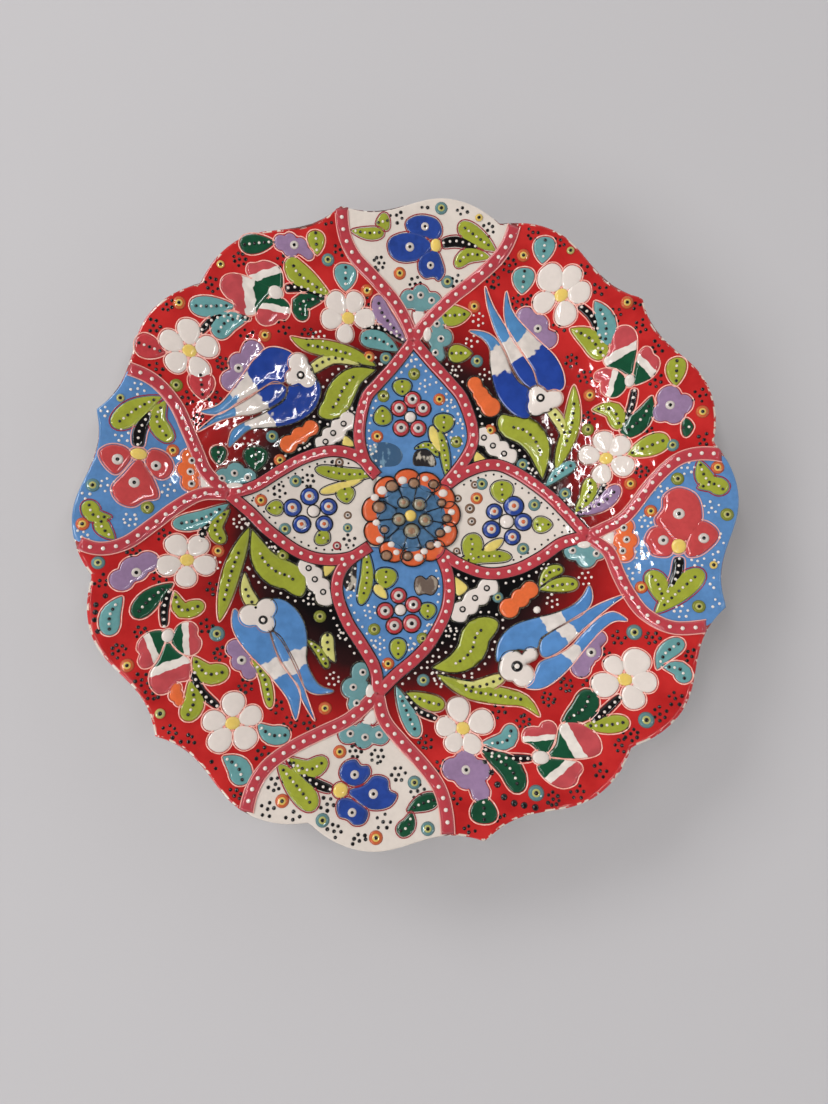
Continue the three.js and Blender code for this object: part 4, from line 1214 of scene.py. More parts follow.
# ---------------------------------------------------------------- rim panel flowers
# One spray in each rim panel: a three-petalled flower with eyes and a yellow button, on a
# black dotted stem with two leaves, and a scalloped fan in the point of the panel.
PANEL_FLOWERS = {
    "top": [
        [(4.6, 79.6), (0.5, 80.5), (-0.8, 82.8), (1.4, 84.4), (4.6, 84.8), (8.2, 83.8), (9.6, 81), (8, 79)],
        [(6.8, 77.6), (3.4, 80.2), (-1.6, 80.4), (-5.6, 78.6), (-5.4, 75.4), (-2.6, 73.6), (2, 73.8),
         (5.6, 75.6)],
        [(6.6, 76.4), (3.4, 74.6), (3, 71.6), (4.8, 69.6), (7.4, 69.8), (8.8, 68.9), (10.4, 71),
         (9.4, 74.4), (8.2, 76.2)],
    ],
    "right": [
        [(74, -8.5), (70.5, -5), (69, -1.5), (71, 1.5), (71.5, 5), (75, 7), (79, 5), (80.5, 1), (80, -4),
         (77, -7.5)],
        [(73.5, -8), (71, -4), (68, -4), (66.2, -7), (67, -9), (68, -11.5), (72, -12)],
        [(76, -9), (79.5, -3), (83, -4.5), (84, -8), (80, -12), (76.5, -12.5)],
    ],
    "bottom": [
        [(-17, -72.4), (-18.6, -70), (-17.4, -67.4), (-14.6, -66.6), (-13, -68.2), (-11, -68.4),
         (-10.6, -70.6), (-13.4, -73.2)],
        [(-16, -74.4), (-12, -73), (-9.4, -70.8), (-6, -71.6), (-5.4, -74.4), (-3.4, -75.6),
         (-5.4, -78.4), (-10, -79), (-14, -76.8)],
        [(-17.6, -76), (-14.4, -76.8), (-11, -79.4), (-11.8, -82.2), (-14.4, -82.6), (-16.2, -81.2),
         (-18.4, -80.4), (-19, -77.6)],
    ],
    "left": [
        [(-76, 15.4), (-77.6, 17.4), (-81, 17.6), (-83.6, 15.4), (-82.6, 12.2), (-79.8, 9.8), (-77.4, 12.2)],
        [(-72.4, 15.6), (-70.8, 17.8), (-67.4, 16.8), (-65.8, 13.6), (-67, 10.6), (-69.4, 9.8),
         (-72.2, 12.4)],
        [(-74.4, 14.6), (-77.8, 10.2), (-80.6, 6), (-79, 2.4), (-75.6, 1.4), (-72.8, 3.4), (-69.4, 4.6),
         (-70.4, 8.8), (-72.4, 12.6)],
    ],
}
PANEL_BUTTONS = {"top": (7.8, 77.6, 3.2, 3.4), "right": (74.3, -9.5, 3.9, 4.3),
                 "bottom": (-18.2, -74.2, 3.9, 3.8), "left": (-74.3, 16, 4.2, 3.2)}
PANEL_EYES = {"top": [(4.7, 82, 2.3), (0.4, 77, 2.6), (6.4, 72.6, 2.2)],
              "right": [(74.9, -0.4, 3.3), (70.6, -7.6, 2.9), (80.4, -7.8, 2.9)],
              "bottom": [(-14.6, -70.4, 2.4), (-9.6, -75.2, 2.6), (-15, -79.6, 2.3)],
              "left": [(-79.2, 13.8, 3), (-70, 13.2, 2.8), (-75.2, 8, 3)]}
PANEL_STEMS = {"top": [(9.6, 78), (14, 78.4), (20, 76.6), 2.6],
               "right": [(74.3, -12.6), (73.2, -18), (70.4, -22.8), 2.8],
               "bottom": [(-20.4, -74), (-26, -71.6), (-32.4, -66.2), 2.4],
               "left": [(-74.5, 18), (-74, 23), (-71.2, 28), 3.2]}
PANEL_LEAVES = [
    ((14.4, 82.6), (18.2, 80), (25, 75.4), 4.6), ((13.6, 72.4), (17.4, 75), (23.6, 73.8), 3.8),
    ((-7, 80.3), (-11.6, 80), (-16.4, 80.6), 3.0), ((-5.4, 83.2), (-9.2, 82.4), 4.2),
    ((79.6, -16.6), (74, -21.6), (67.2, -28), 6.2), ((66, -16.5), (68.5, -19.5), (70, -26.5), 5.4),
    ((-22, -66.4), (-27, -69), (-32.6, -65.8), 4.8), ((-24.4, -78.6), (-29.4, -73), (-34.8, -67.2), 6.0),
    ((-80.6, 22.6), (-75, 28), (-68.6, 32.4), 5.8), ((-66.4, 20.4), (-70, 26), (-67.6, 31.6), 5.0),
    ((86.6, 4.4), (83.8, 7), (79.8, 6.4), 4.6), ((83.4, 6.6), (81.4, 9.6), (80.2, 14), 4.2),
    ((-86, 2), (-84.4, -2), (-80.4, -1.8), 4.4), ((-82.6, -2.4), (-82.4, -5), (-79.4, -8), 3.8),
]
PANEL_GREEN_LEAVES = [((7.4, -76.4), (3, -77.6), (-0.8, -79.4), 4.2),
                      ((-3.4, -84.4), (-0.6, -83), (0.4, -79.6), 3.8)]
PANEL_FANS = {
    "top": [(0.2, 64, 2.5), (3.6, 65.4, 2.4), (7.2, 63.4, 2.4), (3.6, 63, 2.6)],
    "right": [(61, -3.2, 2.6), (62, -7, 2.4), (60.8, -10.6, 2.5), (60, -7, 2.4)],
    "bottom": [(-16.6, -60, 2.6), (-12.4, -61.4, 2.5), (-8, -60.4, 2.6), (-12.4, -59.4, 2.4)],
    "left": [(-61.4, 9.4, 2.4), (-62.6, 13, 2.3), (-61.6, 16.6, 2.3), (-60.6, 13, 2.2)],
}
FAN_WEDGES = {"top": [(1.4, 60.6), (5, 60.4), (2.6, 56.8)],
              "right": [(58, -4), (58, -8), (55, -6)],
              "bottom": [(-13.2, -57.8), (-9.2, -57.2), (-10, -53.8)],
              "left": [(-58.4, 8), (-58.6, 11.8), (-55.2, 8.6)]}
coral_enamel = glaze("coral_enamel", colour(186, 68, 68), edge_shade=0.75)
cobalt_enamel = glaze("cobalt_enamel", colour(40, 66, 140), streak=0.2, edge_shade=0.65)
panel_drops, panel_black = [], []

for side in SIDES:
    upright = side in ("top", "bottom")
    petal_paint = cobalt_enamel if upright else coral_enamel
    line_paint = rose_slip if upright else pink_slip
    shapes = [spline(places, 4, closed=True) for places in PANEL_FLOWERS[side]]
    name = f"panel_flower_{side}"
    slot_name = "cobalt_enamel" if upright else "coral_enamel"
    button = oval(*PANEL_BUTTONS[side])
    coats = [coat(shape, 0.3, 0.7, 1.1, base=COAT, dome=0.12) for shape in shapes]
    crown = coat(button, 0.5, 0.8, 1.0, base=COAT, dome=0.2)
    mesh = joined(name, [(coats, petal_paint), ([crown], yellow_enamel)])
    add_piece(name, mesh, [name])
    trailed(f"{name}_lines", [around(shape) for shape in shapes + [button]], line_paint)
    *places, width = PANEL_STEMS[side]
    panel_drops += sized(leaf_drops(places, 0.05, 0.95, 1.9), 0.8)
    fan_paint = fan_teal if upright else orange_enamel
    for label, outline, paint, slot_name in (
        ("panel_stem", leaf(places, width, 0.15, 0.3), black_slip, "green_enamel"),
        ("panel_fan", cloud(PANEL_FANS[side]), fan_paint, "sky_enamel"),
        ("panel_fan_point", spline(FAN_WEDGES[side], 4, closed=True), white_enamel, "white_enamel"),
    ):
        brushed(f"{label}_{side}", [outline], paint, line_paint=line_paint)
for label, leaves, paint, slot_name in (
    ("panel_leaves", PANEL_LEAVES, lime_paint, "lime_enamel"),
    ("panel_green_leaves", PANEL_GREEN_LEAVES, LEAF_PAINTS["dark_green"], "green_enamel"),
):
    shapes = [leaf(places, width, 0.45, 0.85) for *places, width in leaves]
    brushed(label, shapes, paint, line_paint=rose_slip)
    for *places, _ in leaves:
        line = leaf_drops(places)
        panel_black += sized(line[::2], 0.85)
        panel_drops += sized(line[1::2], 0.75)
dotted("panel_drops_black", panel_black, black_slip, ON_LEAF, 0.5)
dotted("panel_drops_white", panel_drops, white_slip, ON_LEAF)
eye_spots = [spot for side in SIDES for spot in PANEL_EYES[side]]
eyes("panel_flower_eyes", eye_spots, [(1.0, 0.14, white_enamel), (0.42, 0.3, black_slip)], 0.38)

# ---------------------------------------------------------------- petal rosettes
# One rosette in each petal: five round petals with a white ring and a dark pupil round a
# white bead, and small leaves beside it.
ROSETTES = {
    "top": [(0.7, 30, 3.2), (1.3, 35.2, 4.8), (-2.6, 32.6, 4.6), (4.4, 32.6, 4.6), (3, 26.7, 4.6),
            (-2, 26.8, 4.6)],
    "right": [(28.5, -1, 4.0), (30.6, 3.5, 5.6), (25, 2, 4.4), (24.1, -3.2, 4.9), (30, -5.6, 4.4),
              (33.2, -1.2, 4.9)],
    "bottom": [(-2.3, -26.5, 3.2), (-2.8, -22.4, 4.4), (1.4, -25, 4.5), (0.9, -30.4, 5), (-4, -31, 4.6),
               (-6.6, -26.8, 4.6)],
    "left": [(-27.3, 2, 3.4), (-28.5, 6.3, 4.9), (-33.3, 2.9, 4.9), (-30.6, -1.9, 4.9), (-24.2, -1.7, 4.6),
             (-23, 3.4, 4.6)],
}
ROSETTE_LEAVES = [
    ((-1.8, 41.2), (-1.6, 36.4), 5.4), ((-7.2, 27.6), (-7.6, 33.2), 5.2), ((10.6, 31), (10.4, 25.4), 6.0),
    ((9.2, 26), (10.8, 19), (11.7, 11.4), 2.8), ((9, 18.6), (6, 21.8), (2, 20.8), 2.0),
    ((-26.8, 14.4), (-18, 13), (-8.4, 13.6), 3.8), ((-18.6, 9.4), (-17.6, 4.6), 5.2),
    ((-26.2, -4.6), (-22.8, -6.8), 4.8), ((-36, 3), (-40.6, 2.6), 4.2), ((27.2, 11), (27.4, 4.6), 6.4),
    ((36, -2), (41.4, -2), 4.6), ((17.8, -4.6), (18.6, -8), (17.4, -12.6), 6.0),
    ((29.6, -11.4), (21, -11.2), (12.8, -13.8), 3.8), ((5.6, -24.6), (5.4, -29.2), 4.6),
    ((-2.9, -34.6), (-3, -40.4), 4.6), ((-6.3, -14.4), (-6.6, -20.4), 6.4),
    ((-13.6, -25), (-11.8, -17), (-12.3, -8.6), 3.8),
]
ROSETTE_YELLOWS = [
    ((7, 27.4), (8, 23.4), (9.8, 19.4), 2.8), ((-9.6, -19.4), (-6.2, -23.2), 2.8),
    ((-25.4, 7.6), (-19.5, 9.4), (-13, 11.8), 2.6), ((22, -9.8), (27.4, -6.2), 2.8),
]
rose_petal = glaze("rosette_red_enamel", colour(180, 56, 62), edge_shade=0.7)
drop_rings = {"red": [(0.62, 0.16, white_enamel), (0.28, 0.4, black_slip)],
              "blue": [(0.56, 0.16, white_enamel), (0.26, 0.4, orange_enamel)]}
for side in SIDES:
    upright = side in ("top", "bottom")
    bead, *petals = ROSETTES[side]
    name = f"rosette_{side}"
    shapes = [oval(*petal) for petal in petals]
    button = oval(*bead)
    coats = [coat(shape, 0.32, 0.8, 1.0, base=COAT, dome=0.12) for shape in shapes]
    crown = coat(button, 0.5, 0.8, 0.9, base=COAT, dome=0.25)
    mesh = joined(name, [(coats, rose_petal if upright else cobalt_enamel), ([crown], white_enamel)])
    add_piece(name, mesh, [name])
    trailed(f"{name}_lines", [around(shape, 0.15) for shape in shapes + [button]], black_slip, 0.36)
    eyes(f"rosette_eyes_{side}", petals, drop_rings["red" if upright else "blue"], 0.42)
for label, leaves, paint in (("rosette_leaves", ROSETTE_LEAVES, lime_paint),
                             ("rosette_yellow_leaves", ROSETTE_YELLOWS, pale_yellow)):
    shapes = [leaf(places, width, 0.45, 0.7) for *places, width in leaves]
    brushed(label, shapes, paint, line_paint=black_slip)
black_spots, white_spots = [], []
for *places, _ in ROSETTE_LEAVES:
    line = leaf_drops(places, 0.2, 0.85, 1.5)
    black_spots += sized(line[::2], 0.75)
    white_spots += sized(line[1::2], 0.7)
dotted("rosette_drops_black", black_spots, black_slip, ON_LEAF, 0.5)
dotted("rosette_drops_white", white_spots, white_slip, ON_LEAF)

# ---------------------------------------------------------------- medallion
# The middle of the plate: grey brown beads round a yellow one, a ring of steel blue petals,
# a ring of brown beads, and a scalloped border of orange enamel with white inner ends.
MEDALLION = (0.8, 0.4)
MEDALLION_GROUND = 25.4
SCALLOP_TURNS = [95.6, 63.4, 32, 4.7, -25.8, -57, -87, -119, -156, 168.5, 130]
BROWN_BEADS = [(-4.7, 9.5, 3.7), (1.7, 10.4, 3.3), (7.4, 10.1, 2.9), (9.7, 4.6, 2.6), (11.2, 0, 2.7),
               (9.2, -4.2, 2.8), (6.4, -7.8, 2.8), (-0.2, -11, 2.9), (-6.3, -10.9, 3.2), (-6.9, -3.3, 2.6),
               (-8.4, 3.3, 3.9)]
GREY_BEADS = [(-1.3, 4.7, 3.5), (3.3, 4.2, 4), (5, -0.5, 4), (1, -3.7, 4.7), (-2.7, -0.3, 3.9)]
PALE_BEADS = [(-1.6, 11.3, 2.2), (5, 11.8, 1.7), (-7.5, 8.3, 2.4), (-9.7, 6.2, 2), (10.2, 7.5, 2.2),
              (12.6, 1.9, 1.8), (-9.2, -1.2, 1.8), (-4.9, -7.6, 1.7), (-8.2, -6.2, 1.9), (4.6, -9.6, 1.8),
              (8.4, -7.6, 1.9), (3, -11.4, 2.2), (11.4, -3.2, 2), (-3.4, -9.9, 1.6)]
steel_blue = glaze("steel_blue_enamel", colour(72, 106, 138), streak=0.25, edge_shade=0.55)
bead_brown = glaze("brown_bead_enamel", colour(148, 112, 86), streak=0.25, edge_shade=0.6)
bead_shell = glaze("grey_bead_enamel", colour(138, 130, 108), streak=0.3, edge_shade=0.55)
scallop_orange = glaze("scallop_enamel", colour(216, 98, 56), streak=0.08, edge_shade=0.75)


def ovals(places, wide, tall):
    """Ovals at (x, y, size) places, as wide and as tall as these shares of their size."""
    return [oval(x, y, size * wide, size * tall) for x, y, size in places]


def medallion_rays(turns, first, last):
    """Straight lines out from the medallion's middle, from one reach to another."""
    return [np.array([towards(*MEDALLION, turn, reach) for reach in (first, last)]) for turn in turns]


scallops = [oval(*towards(*MEDALLION, turn, 11.6), 5.6, 7.4, turn) for turn in SCALLOP_TURNS]
petals = [leaf(ray, 5.4, 0.4, 0.45) for ray in medallion_rays(SCALLOP_TURNS, 10.6, 4.2)]
brown_beads, grey_beads = ovals(BROWN_BEADS, 1, 0.92), ovals(GREY_BEADS, 1, 0.95)
layers = [([coat(oval(*MEDALLION, MEDALLION_GROUND, steps=72), COAT, 0.5, 1.4)], steel_blue)]
for shapes, thick, edge, spacing, dome, paint in (
    (scallops, 0.36, 1.0, 1.0, 0.15, scallop_orange),
    (petals, 0.5, 0.8, 1.0, 0.12, steel_blue),
    (ovals(PALE_BEADS, 1.3, 1.15), 0.85, 0.5, 0.9, 0.1, white_enamel),
    (brown_beads, 0.75, 0.8, 0.9, 0.2, bead_brown),
    (grey_beads, 0.7, 0.8, 0.9, 0.2, bead_shell),
    (ovals(GREY_BEADS, 0.6, 0.6), 0.95, 0.7, 0.9, 0.2, bead_brown),
    ([oval(0.7, 0.9, 3.5)], 0.95, 0.8, 0.9, 0.25, yellow_enamel),
):
    layers.append(([coat(shape, thick, edge, spacing, base=COAT, dome=dome) for shape in shapes], paint))
add_piece("medallion", joined("medallion", layers), ["medallion"])
between = [turn + ((SCALLOP_TURNS[i - 1] - turn + 180) % 360 - 180) / 2
           for i, turn in enumerate(SCALLOP_TURNS)]
for label, lines, lifts in (
    ("petal", [around(shape, 0.05) for shape in scallops], (0.12, 0.42)),
    ("joint", medallion_rays(between, 4.6, 9.4), (0.5, 0.6)),
    ("bead", [around(shape, 0.05) for shape in brown_beads + grey_beads], (0.4, 0.66)),
):
    for level, lift in zip(("low", "high"), lifts):
        trailed(f"medallion_{label}_lines_{level}", lines, black_slip, lift=lift)

# ---------------------------------------------------------------- eyes between the motifs
# Drops of orange or teal enamel with a yellow drop and a black pupil, on every open ground.
EYES = {
    "orange": [(-52.5, 69), (-63.7, 57.8), (-41.2, 52.3), (-12, 66), (-30, 81), (32.8, 74), (61.5, 59),
               (19.2, 61.8), (81.3, 27.3), (63, 9.2), (24, 26), (52.3, 35.3), (-73.8, -41.8), (-53.5, -9.8),
               (-23, -53.3), (-37, 16.8), (-0.5, 86.2), (-2.5, 70.6), (20, 83.8), (68, 1), (84.7, 11.5),
               (82.2, -15.4), (64.5, -20.5), (-18.7, -64.6), (-33, -76.5), (-8.8, -85.7), (-82.8, 20),
               (-66, 18), (-87, -4.5), (9.2, 35.3), (-9, 24.3), (-42.2, 5), (20, 6), (-5.8, -41.5),
               (-11.5, 47.6)],
    "teal": [(-23, 73), (-39.3, 23.7), (73.8, 19), (45.8, 74), (45.2, 7), (33.3, 15.7), (-52.7, -33, 4.3),
             (-64.8, -54.2, 4.4), (-82.7, -14.7), (4, -46), (32.8, -75, 4.2), (61.7, -33, 4.3),
             (62.3, -56.5, 4.3),
             (9.3, 86.5), (-12.7, 84.3), (11.3, 68.5), (1.2, -72.5), (-22.5, -81.3), (4.5, -83.6),
             (-32.5, 10.7), (-35.3, -3.3), (-17.5, -2.7, 2.8), (25.5, -23, 3.2), (21.5, 10.2), (36.5, 3.8),
             (33, -9), (-6.5, 47.4), (20.2, 46.5), (-85, 6.2)],
    "lime": [(-78.7, 30.5), (-72, 1.5), (75, 9.5), (86.5, -1.7), (78, -26.5), (1.8, 42.8), (14.2, 22.7),
             (-9.7, -32), (4, -34.6), (-65, 36), (-35.8, -11), (51.8, 25.5), (-7.2, 36.2), (-25, -28.3)],
    "brown": [(14, -9.5, 2.2), (18.5, -0.8, 2.6), (18, 3, 3), (14.5, 6, 2.4), (19.5, 10, 2.4),
              (-20, 16.5, 2.6), (-17.5, 1, 2.4)],
    "rose": [(-20.5, -8, 2.6)],
}
EYE_PAINTS = {"orange": (orange_enamel, yellow_enamel), "teal": (fan_teal, pale_lime),
              "lime": (lime_paint, pale_lime), "brown": (bead_brown, white_enamel),
              "rose": (rose_petal, white_enamel)}
for label, places in EYES.items():
    spots = [(*place, 3.6)[:3] for place in places]
    ring_paint, drop_paint = EYE_PAINTS[label]
    rings = [(1.0, 0.12, ring_paint), (0.6, 0.16, drop_paint), (0.3, 0.4, black_slip)]
    eyes(f"{label}_eyes", spots, rings)
bud_eyes = [(-32.3, 75.8, 2.4), (-48.6, 42.6, 2.6), (37.5, 54.8, 2.4), (73.3, 30.2, 2.6), (-73.6, -16.8, 2.6),
            (-45.8, -40.2, 2.6), (15, -69.4, 2.6), (50.2, -38.4, 2.8)]
eyes("bud_eyes", bud_eyes, [(1.0, 0.14, white_enamel), (0.45, 0.3, black_slip)], 0.26)
fan_eyes = [(-53, 11), (-49.6, 12.6), (-46, 11.4), (8.4, 57.2), (9.6, 53), (8, 49), (46.8, -9.6),
            (53.2, -10.6), (-12.8, -43.8), (-15.4, -47.8), (-14.4, -52), (0.6, 64.4), (3.6, 65),
            (6.8, 63.6), (60.8, -3.4), (61.4, -6.8), (60.2, -10), (-16, -60), (-12, -61), (-8.2, -60.4),
            (-61, 9), (-61.4, 12.4), (-61, 15.6)]
eyes("fan_eyes", sized(fan_eyes, 2.1), [(1.0, 0.2, white_enamel), (0.5, 0.4, black_slip)], 0.28)
cloud_rings = [(-24, 22.4), (-21.8, 25), (-18.8, 27.8), (22.2, 23.8), (24.8, 21.4), (28, 19),
               (-28.4, -14.6), (-26.6, -17.8), (-24.2, -21.4), (22.4, -20.4), (19, -23.2), (15.4, -26.4)]
eyes("cloud_rings", sized(cloud_rings, 1.9), [(1.0, 0.2, black_slip), (0.56, 0.4, white_enamel)], 0.3)

# ---------------------------------------------------------------- clusters of small drops
# Bunches of six to eight fine drops fill the ground: black on the red and the cream, and
# white on the blue and the black.
BLACK_CLUSTERS = [
    (-47.5, 71), (-37.6, 80), (-35.5, 71.5), (-55, 63.5), (-67, 57), (-70.5, 51), (-53, 43.5),
    (-70, 39.5), (-62, 33), (-55, 34), (-46, 51.5), (-36, 55), (-59, 27), (-19.5, 75.8), (-23, 83),
    (-11.5, 62.4), (-29, 53.6), (35.3, 79.5), (43, 77), (29, 71.8), (50.5, 69.4), (24.5, 68),
    (31.5, 62.5), (54, 63.6), (35.8, 62), (58.5, 56), (65, 58), (65.7, 52.5), (47, 45.5), (43.5, 55),
    (70, 46.5), (51, 40.5), (69.4, 37.6), (80.7, 31.7), (67.5, 23.7), (81.5, 19.5), (66, 12.5), (52, 29),
    (-71.5, -33), (-76.3, -38), (-55.5, -31), (-51.5, -38.5), (-67.5, -6), (-75, -10.5), (-82, -19.5),
    (-68, -17.4), (-54.5, -20.6), (-70, -45.5), (-67, -49), (-62.3, -59), (-57.3, -61.4), (-51.8, -68),
    (-45, -75), (-39, -65), (-44.5, -47), (-36, -52.5), (-32, -57), (-27, -57), (57.5, -34.5),
    (66, -34.5), (75, -40), (70, -51), (65.8, -55), (58, -60), (53.5, -39), (48.5, -46), (43, -47.3),
    (38, -51), (31, -57), (24.5, -54.4), (55.5, -63), (49.5, -69.5), (43.3, -74.5), (37, -76.5),
    (4.3, -62.5), (8.3, -68.5), (11.4, -76.5), (15, -84.5), (24, -82), (4.5, 88), (-3.4, 84.6),
    (-14.4, 86.4), (15.3, 86.5), (22.5, 80.6), (-8.5, 73), (2, 68), (14, 68.6), (-14.5, -64.4),
    (-8.5, -66), (-3, -70.6), (-7, -82), (-21.5, -77.5), (-35, -72.4), (-36.5, -78.4), (-30, -81),
    (-19.5, -84), (-13, -86.4), (2, -74.6), (-37, 7.9), (-29, 11), (-17, -6.4), (-21, 15.5),
]
WHITE_CLUSTERS = [
    (20.5, 58.3), (18.5, 52.4), (14, 44), (22.5, 42.4), (-48, -1.5), (-54.5, -13.6), (12, -55.6),
    (50, -17.5), (77.5, 12.3), (71, 6.4), (66.5, -1.6), (65, -11), (62.6, -16.4), (83, 0.5), (86, -8),
    (84, -13.4), (78.6, -14), (83, -20.5), (73.5, -27.6), (83, -26), (-74.5, 33.6), (-83.5, 26.5),
    (-81.5, 6.6), (-87.4, 3.8), (-76, -2.2), (-67, 7), (-78.4, 20.4), (-87, -8), (1, 46.6), (5, 39.2),
    (11.6, 33.4), (15.4, 29.4), (-11, 20.4), (12.6, 24), (-11, -27), (-8, -36), (1.5, -36), (-15.5, -21),
    (6.8, -32.2), (-46, 21.4), (-30, 20.6), (-17.6, 31.6), (-26, 53), (40.6, -24), (12, -32.5),
    (-18.4, -33), (-27, -23.4), (-21, -45.4), (30, 38), (35.6, 13), (45, 3.4), (-46.6, 5.4),
    (-39.6, -8.6), (38.6, -13.4), (8.6, -45.6),
]
LOOSE_BLACK_DROPS = {
    "right": [(20, -67.5), (21.5, -70), (23, -73), (24.5, -76), (27, -77.5), (29.5, -78), (32.3, -78.5)],
    "left": [(-80.5, -23.5), (-82.5, -26), (-82.5, -28), (-82.5, -30), (-81.5, -33)],
}
ROW_STEP = 2.3
MEDALLION_CLEAR, BOWL_CLEAR = 17, (18, 49)
drops = np.random.default_rng(7)


def bunch(x, y, wide):
    """Fine drops set round a place: one in the middle and five or six about it."""
    count = int(drops.integers(5, 8))
    turn = drops.uniform(0, math.pi)
    spots = [(x, y, wide)]
    for i in range(count):
        angle = turn + 2 * math.pi * i / count + drops.normal(0, 0.12)
        reach = drops.uniform(1.4, 1.9)
        place = (x + reach * math.cos(angle), y + reach * math.sin(angle))
        spots.append((*place, wide * drops.uniform(0.85, 1.1)))
    return spots


def clear_of_cells(places):
    """The places that don't touch any painted cell."""
    gap = 0.7
    free = np.ones(len(places), bool)
    for cell in painted_cells:
        near = np.hypot(*(places - cell.mean(0)).T) < np.hypot(*(cell - cell.mean(0)).T).max() + gap
        if near.any():
            free[near] &= ~inside(places[near], cell) & (edge_distance(places[near], cell) > gap)
    return places[free]


def inner_rows(sides, width):
    """Drops along the inside of the petals' borders, down to the medallion."""
    rows = [clear_of_cells(spaced(around(borders[side], -2.9), ROW_STEP)) for side in sides]
    return sized([place for row in rows for place in row if math.hypot(*place) > MEDALLION_CLEAR], width)


borders = {side: np.concatenate([petal_halves[side][0], petal_halves[side][1][1:]]) for side in SIDES}
spots = [spot for place in BLACK_CLUSTERS for spot in bunch(*place, 1.05)]
spots += sized(LOOSE_BLACK_DROPS["right"], 1.8) + sized(LOOSE_BLACK_DROPS["left"], 1.5)
spots += inner_rows(["right", "left"], 0.7)
dotted("black_drop_clusters", spots, black_slip, 0.02, 0.3)
spots = [spot for place in WHITE_CLUSTERS for spot in bunch(*place, 0.8)] + [(36.3, -26.5, 2.2)]
spots += inner_rows(["top", "bottom"], 0.8)
rows = [around(border, 3.0) for border in borders.values()]
rows += [around(outline, 1.5) for outline in tulip_leaf_outlines]
for row in rows:
    places = clear_of_cells(spaced(row, ROW_STEP)[1:])
    reach = np.hypot(*places.T)
    in_petal = np.any([inside(places, border) for border in borders.values()], axis=0)
    spots += sized(places[~in_petal & (reach > BOWL_CLEAR[0]) & (reach < BOWL_CLEAR[1])], 0.8)
dotted("white_drop_clusters", spots, white_slip, 0.02, 0.5)

# ---------------------------------------------------------------- worn places
# Places in the petals where the glaze has crawled or been rubbed: mottled, dark or scratched
# patches, and one blister of glaze that stands up in the bottom petal.
WORN_PLACES = {
    "mottled": [[(-11.5, 16), (-12, 19), (-9, 22.5), (-4, 22), (-1.5, 19), (-3, 16), (-7, 15.4)]],
    "scratched": [[(1.6, 16), (1.8, 19.6), (4.4, 20.6), (7, 19.8), (8.4, 16.6), (7.4, 15.4), (4.6, 15.6)],
                  [(-19.3, -13.4), (-15.2, -12.4), (-14.8, -16), (-15.2, -20.6), (-17.8, -20.6),
                   (-19, -17.4)]],
    "blistered": [[(2.2, -17.4), (3.8, -16.8), (5.2, -17.8), (6.6, -16.6), (8.4, -18), (8.2, -20.4),
                   (6.8, -22.2), (4.6, -21.8), (2.8, -22.2), (1.8, -20)]],
}
WORN_TINTS = {"mottled": (colour(58, 88, 118), colour(112, 144, 166)),
              "scratched": (colour(38, 33, 34), colour(186, 176, 160)),
              "blistered": (colour(104, 88, 78), colour(160, 146, 130))}
for label, outlines in WORN_PLACES.items():
    paint, wire = new_material(f"{label}_glaze")
    rubbed = wire.noise(420, 5, (1, 0.5, 1)).step(0.54, 0.62)
    base = wire.blend(rubbed, *WORN_TINTS[label])
    finish_material(wire, base, wire.noise(300) * 0.2 + 0.12, wire.noise(500), 0.0002)
    thick = 0.5 if label == "blistered" else 0.05
    coats = [coat(spline(outline, 4, closed=True), thick, 0.5, 0.9, base=COAT) for outline in outlines]
    add_piece(f"{label}_patches", joined(f"{label}_patches", [(coats, paint)]))
blister = around(spline(WORN_PLACES["blistered"][0], 4, closed=True), 0.1)
trailed("blister_line", [blister], black_slip, 0.3)

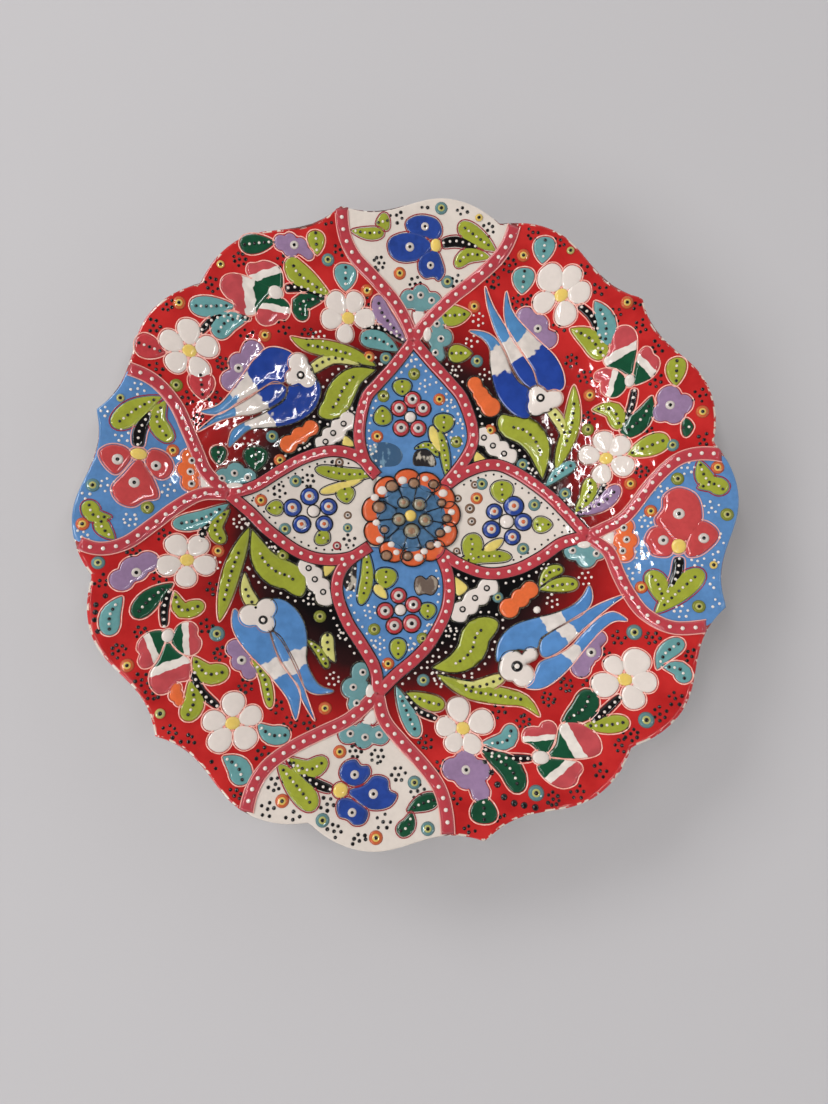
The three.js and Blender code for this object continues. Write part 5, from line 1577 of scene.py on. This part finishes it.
# ---------------------------------------------------------------- table and light
# A plain pale floor under the foot ring, and soft studio light from the upper left.
floor_mesh = bpy.data.meshes.new("floor")
reach = 8.0
corners = [(-reach, -reach, 0), (reach, -reach, 0), (reach, reach, 0), (-reach, reach, 0)]
floor_mesh.from_pydata(corners, [], [(0, 1, 2, 3)])
floor_paint, wire = new_material("pale_floor")
surface = wire.node("ShaderNodeBsdfPrincipled", {"Base Color": colour(194, 191, 192), "Roughness": 0.9})
wire.node("ShaderNodeOutputMaterial", {"Surface": surface})
floor_mesh.materials.append(floor_paint)
floor = bpy.data.objects.new("floor", floor_mesh)
bpy.context.scene.collection.objects.link(floor)


def softbox(name, place, size, power):
    """A rectangular studio light that looks at the plate."""
    data = bpy.data.lights.new(name, "AREA")
    data.shape = "RECTANGLE"
    data.size, data.size_y = size
    data.energy = power
    lamp = bpy.data.objects.new(name, data)
    bpy.context.scene.collection.objects.link(lamp)
    lamp.location = place
    lamp.rotation_euler = (-Vector(place)).to_track_quat("-Z", "Y").to_euler()
    return lamp


def tube_light(name, place, turn, power):
    """A ceiling fitting of two thin tubes side by side, for fine wavy lines of light in the glaze."""
    half_gap, tube_size = 0.027, (0.006, 0.46)
    across = Vector((math.cos(math.radians(turn)), math.sin(math.radians(turn)), 0))
    for end, offset in (("left", -half_gap), ("right", half_gap)):
        lamp = softbox(f"{name}_{end}", Vector(place) + across * offset, tube_size, power)
        lamp.rotation_euler = (0, 0, math.radians(turn))


softbox("key_window", (-1.25, 1.0, 1.15), (0.8, 0.6), 12.5)
softbox("fill_window", (-1.2, -0.9, 1.1), (0.8, 0.6), 10)
tube_light("right_tubes", (0.387, -0.04, 1.03), -32, 0.8)
tube_light("left_tubes", (-0.40, 0.15, 1.01), 16, 0.8)
world = bpy.data.worlds.new("studio")
world.use_nodes = True
world.node_tree.nodes.clear()
sky = Wire(world.node_tree)
direction = sky.node("ShaderNodeTexCoord", {}, "Generated")
upward = sky.node("ShaderNodeSeparateXYZ", {"Vector": direction}, "Z")
walls = sky.blend(upward.step(0.5, 0.8), (1.0, 1.0, 1.0, 1), (0.10, 0.10, 0.11, 1))
light = sky.node("ShaderNodeBackground", {"Color": walls, "Strength": 0.92})
sky.node("ShaderNodeOutputWorld", {"Surface": light})
bpy.context.scene.world = world
bpy.context.scene.view_settings.view_transform = "Standard"
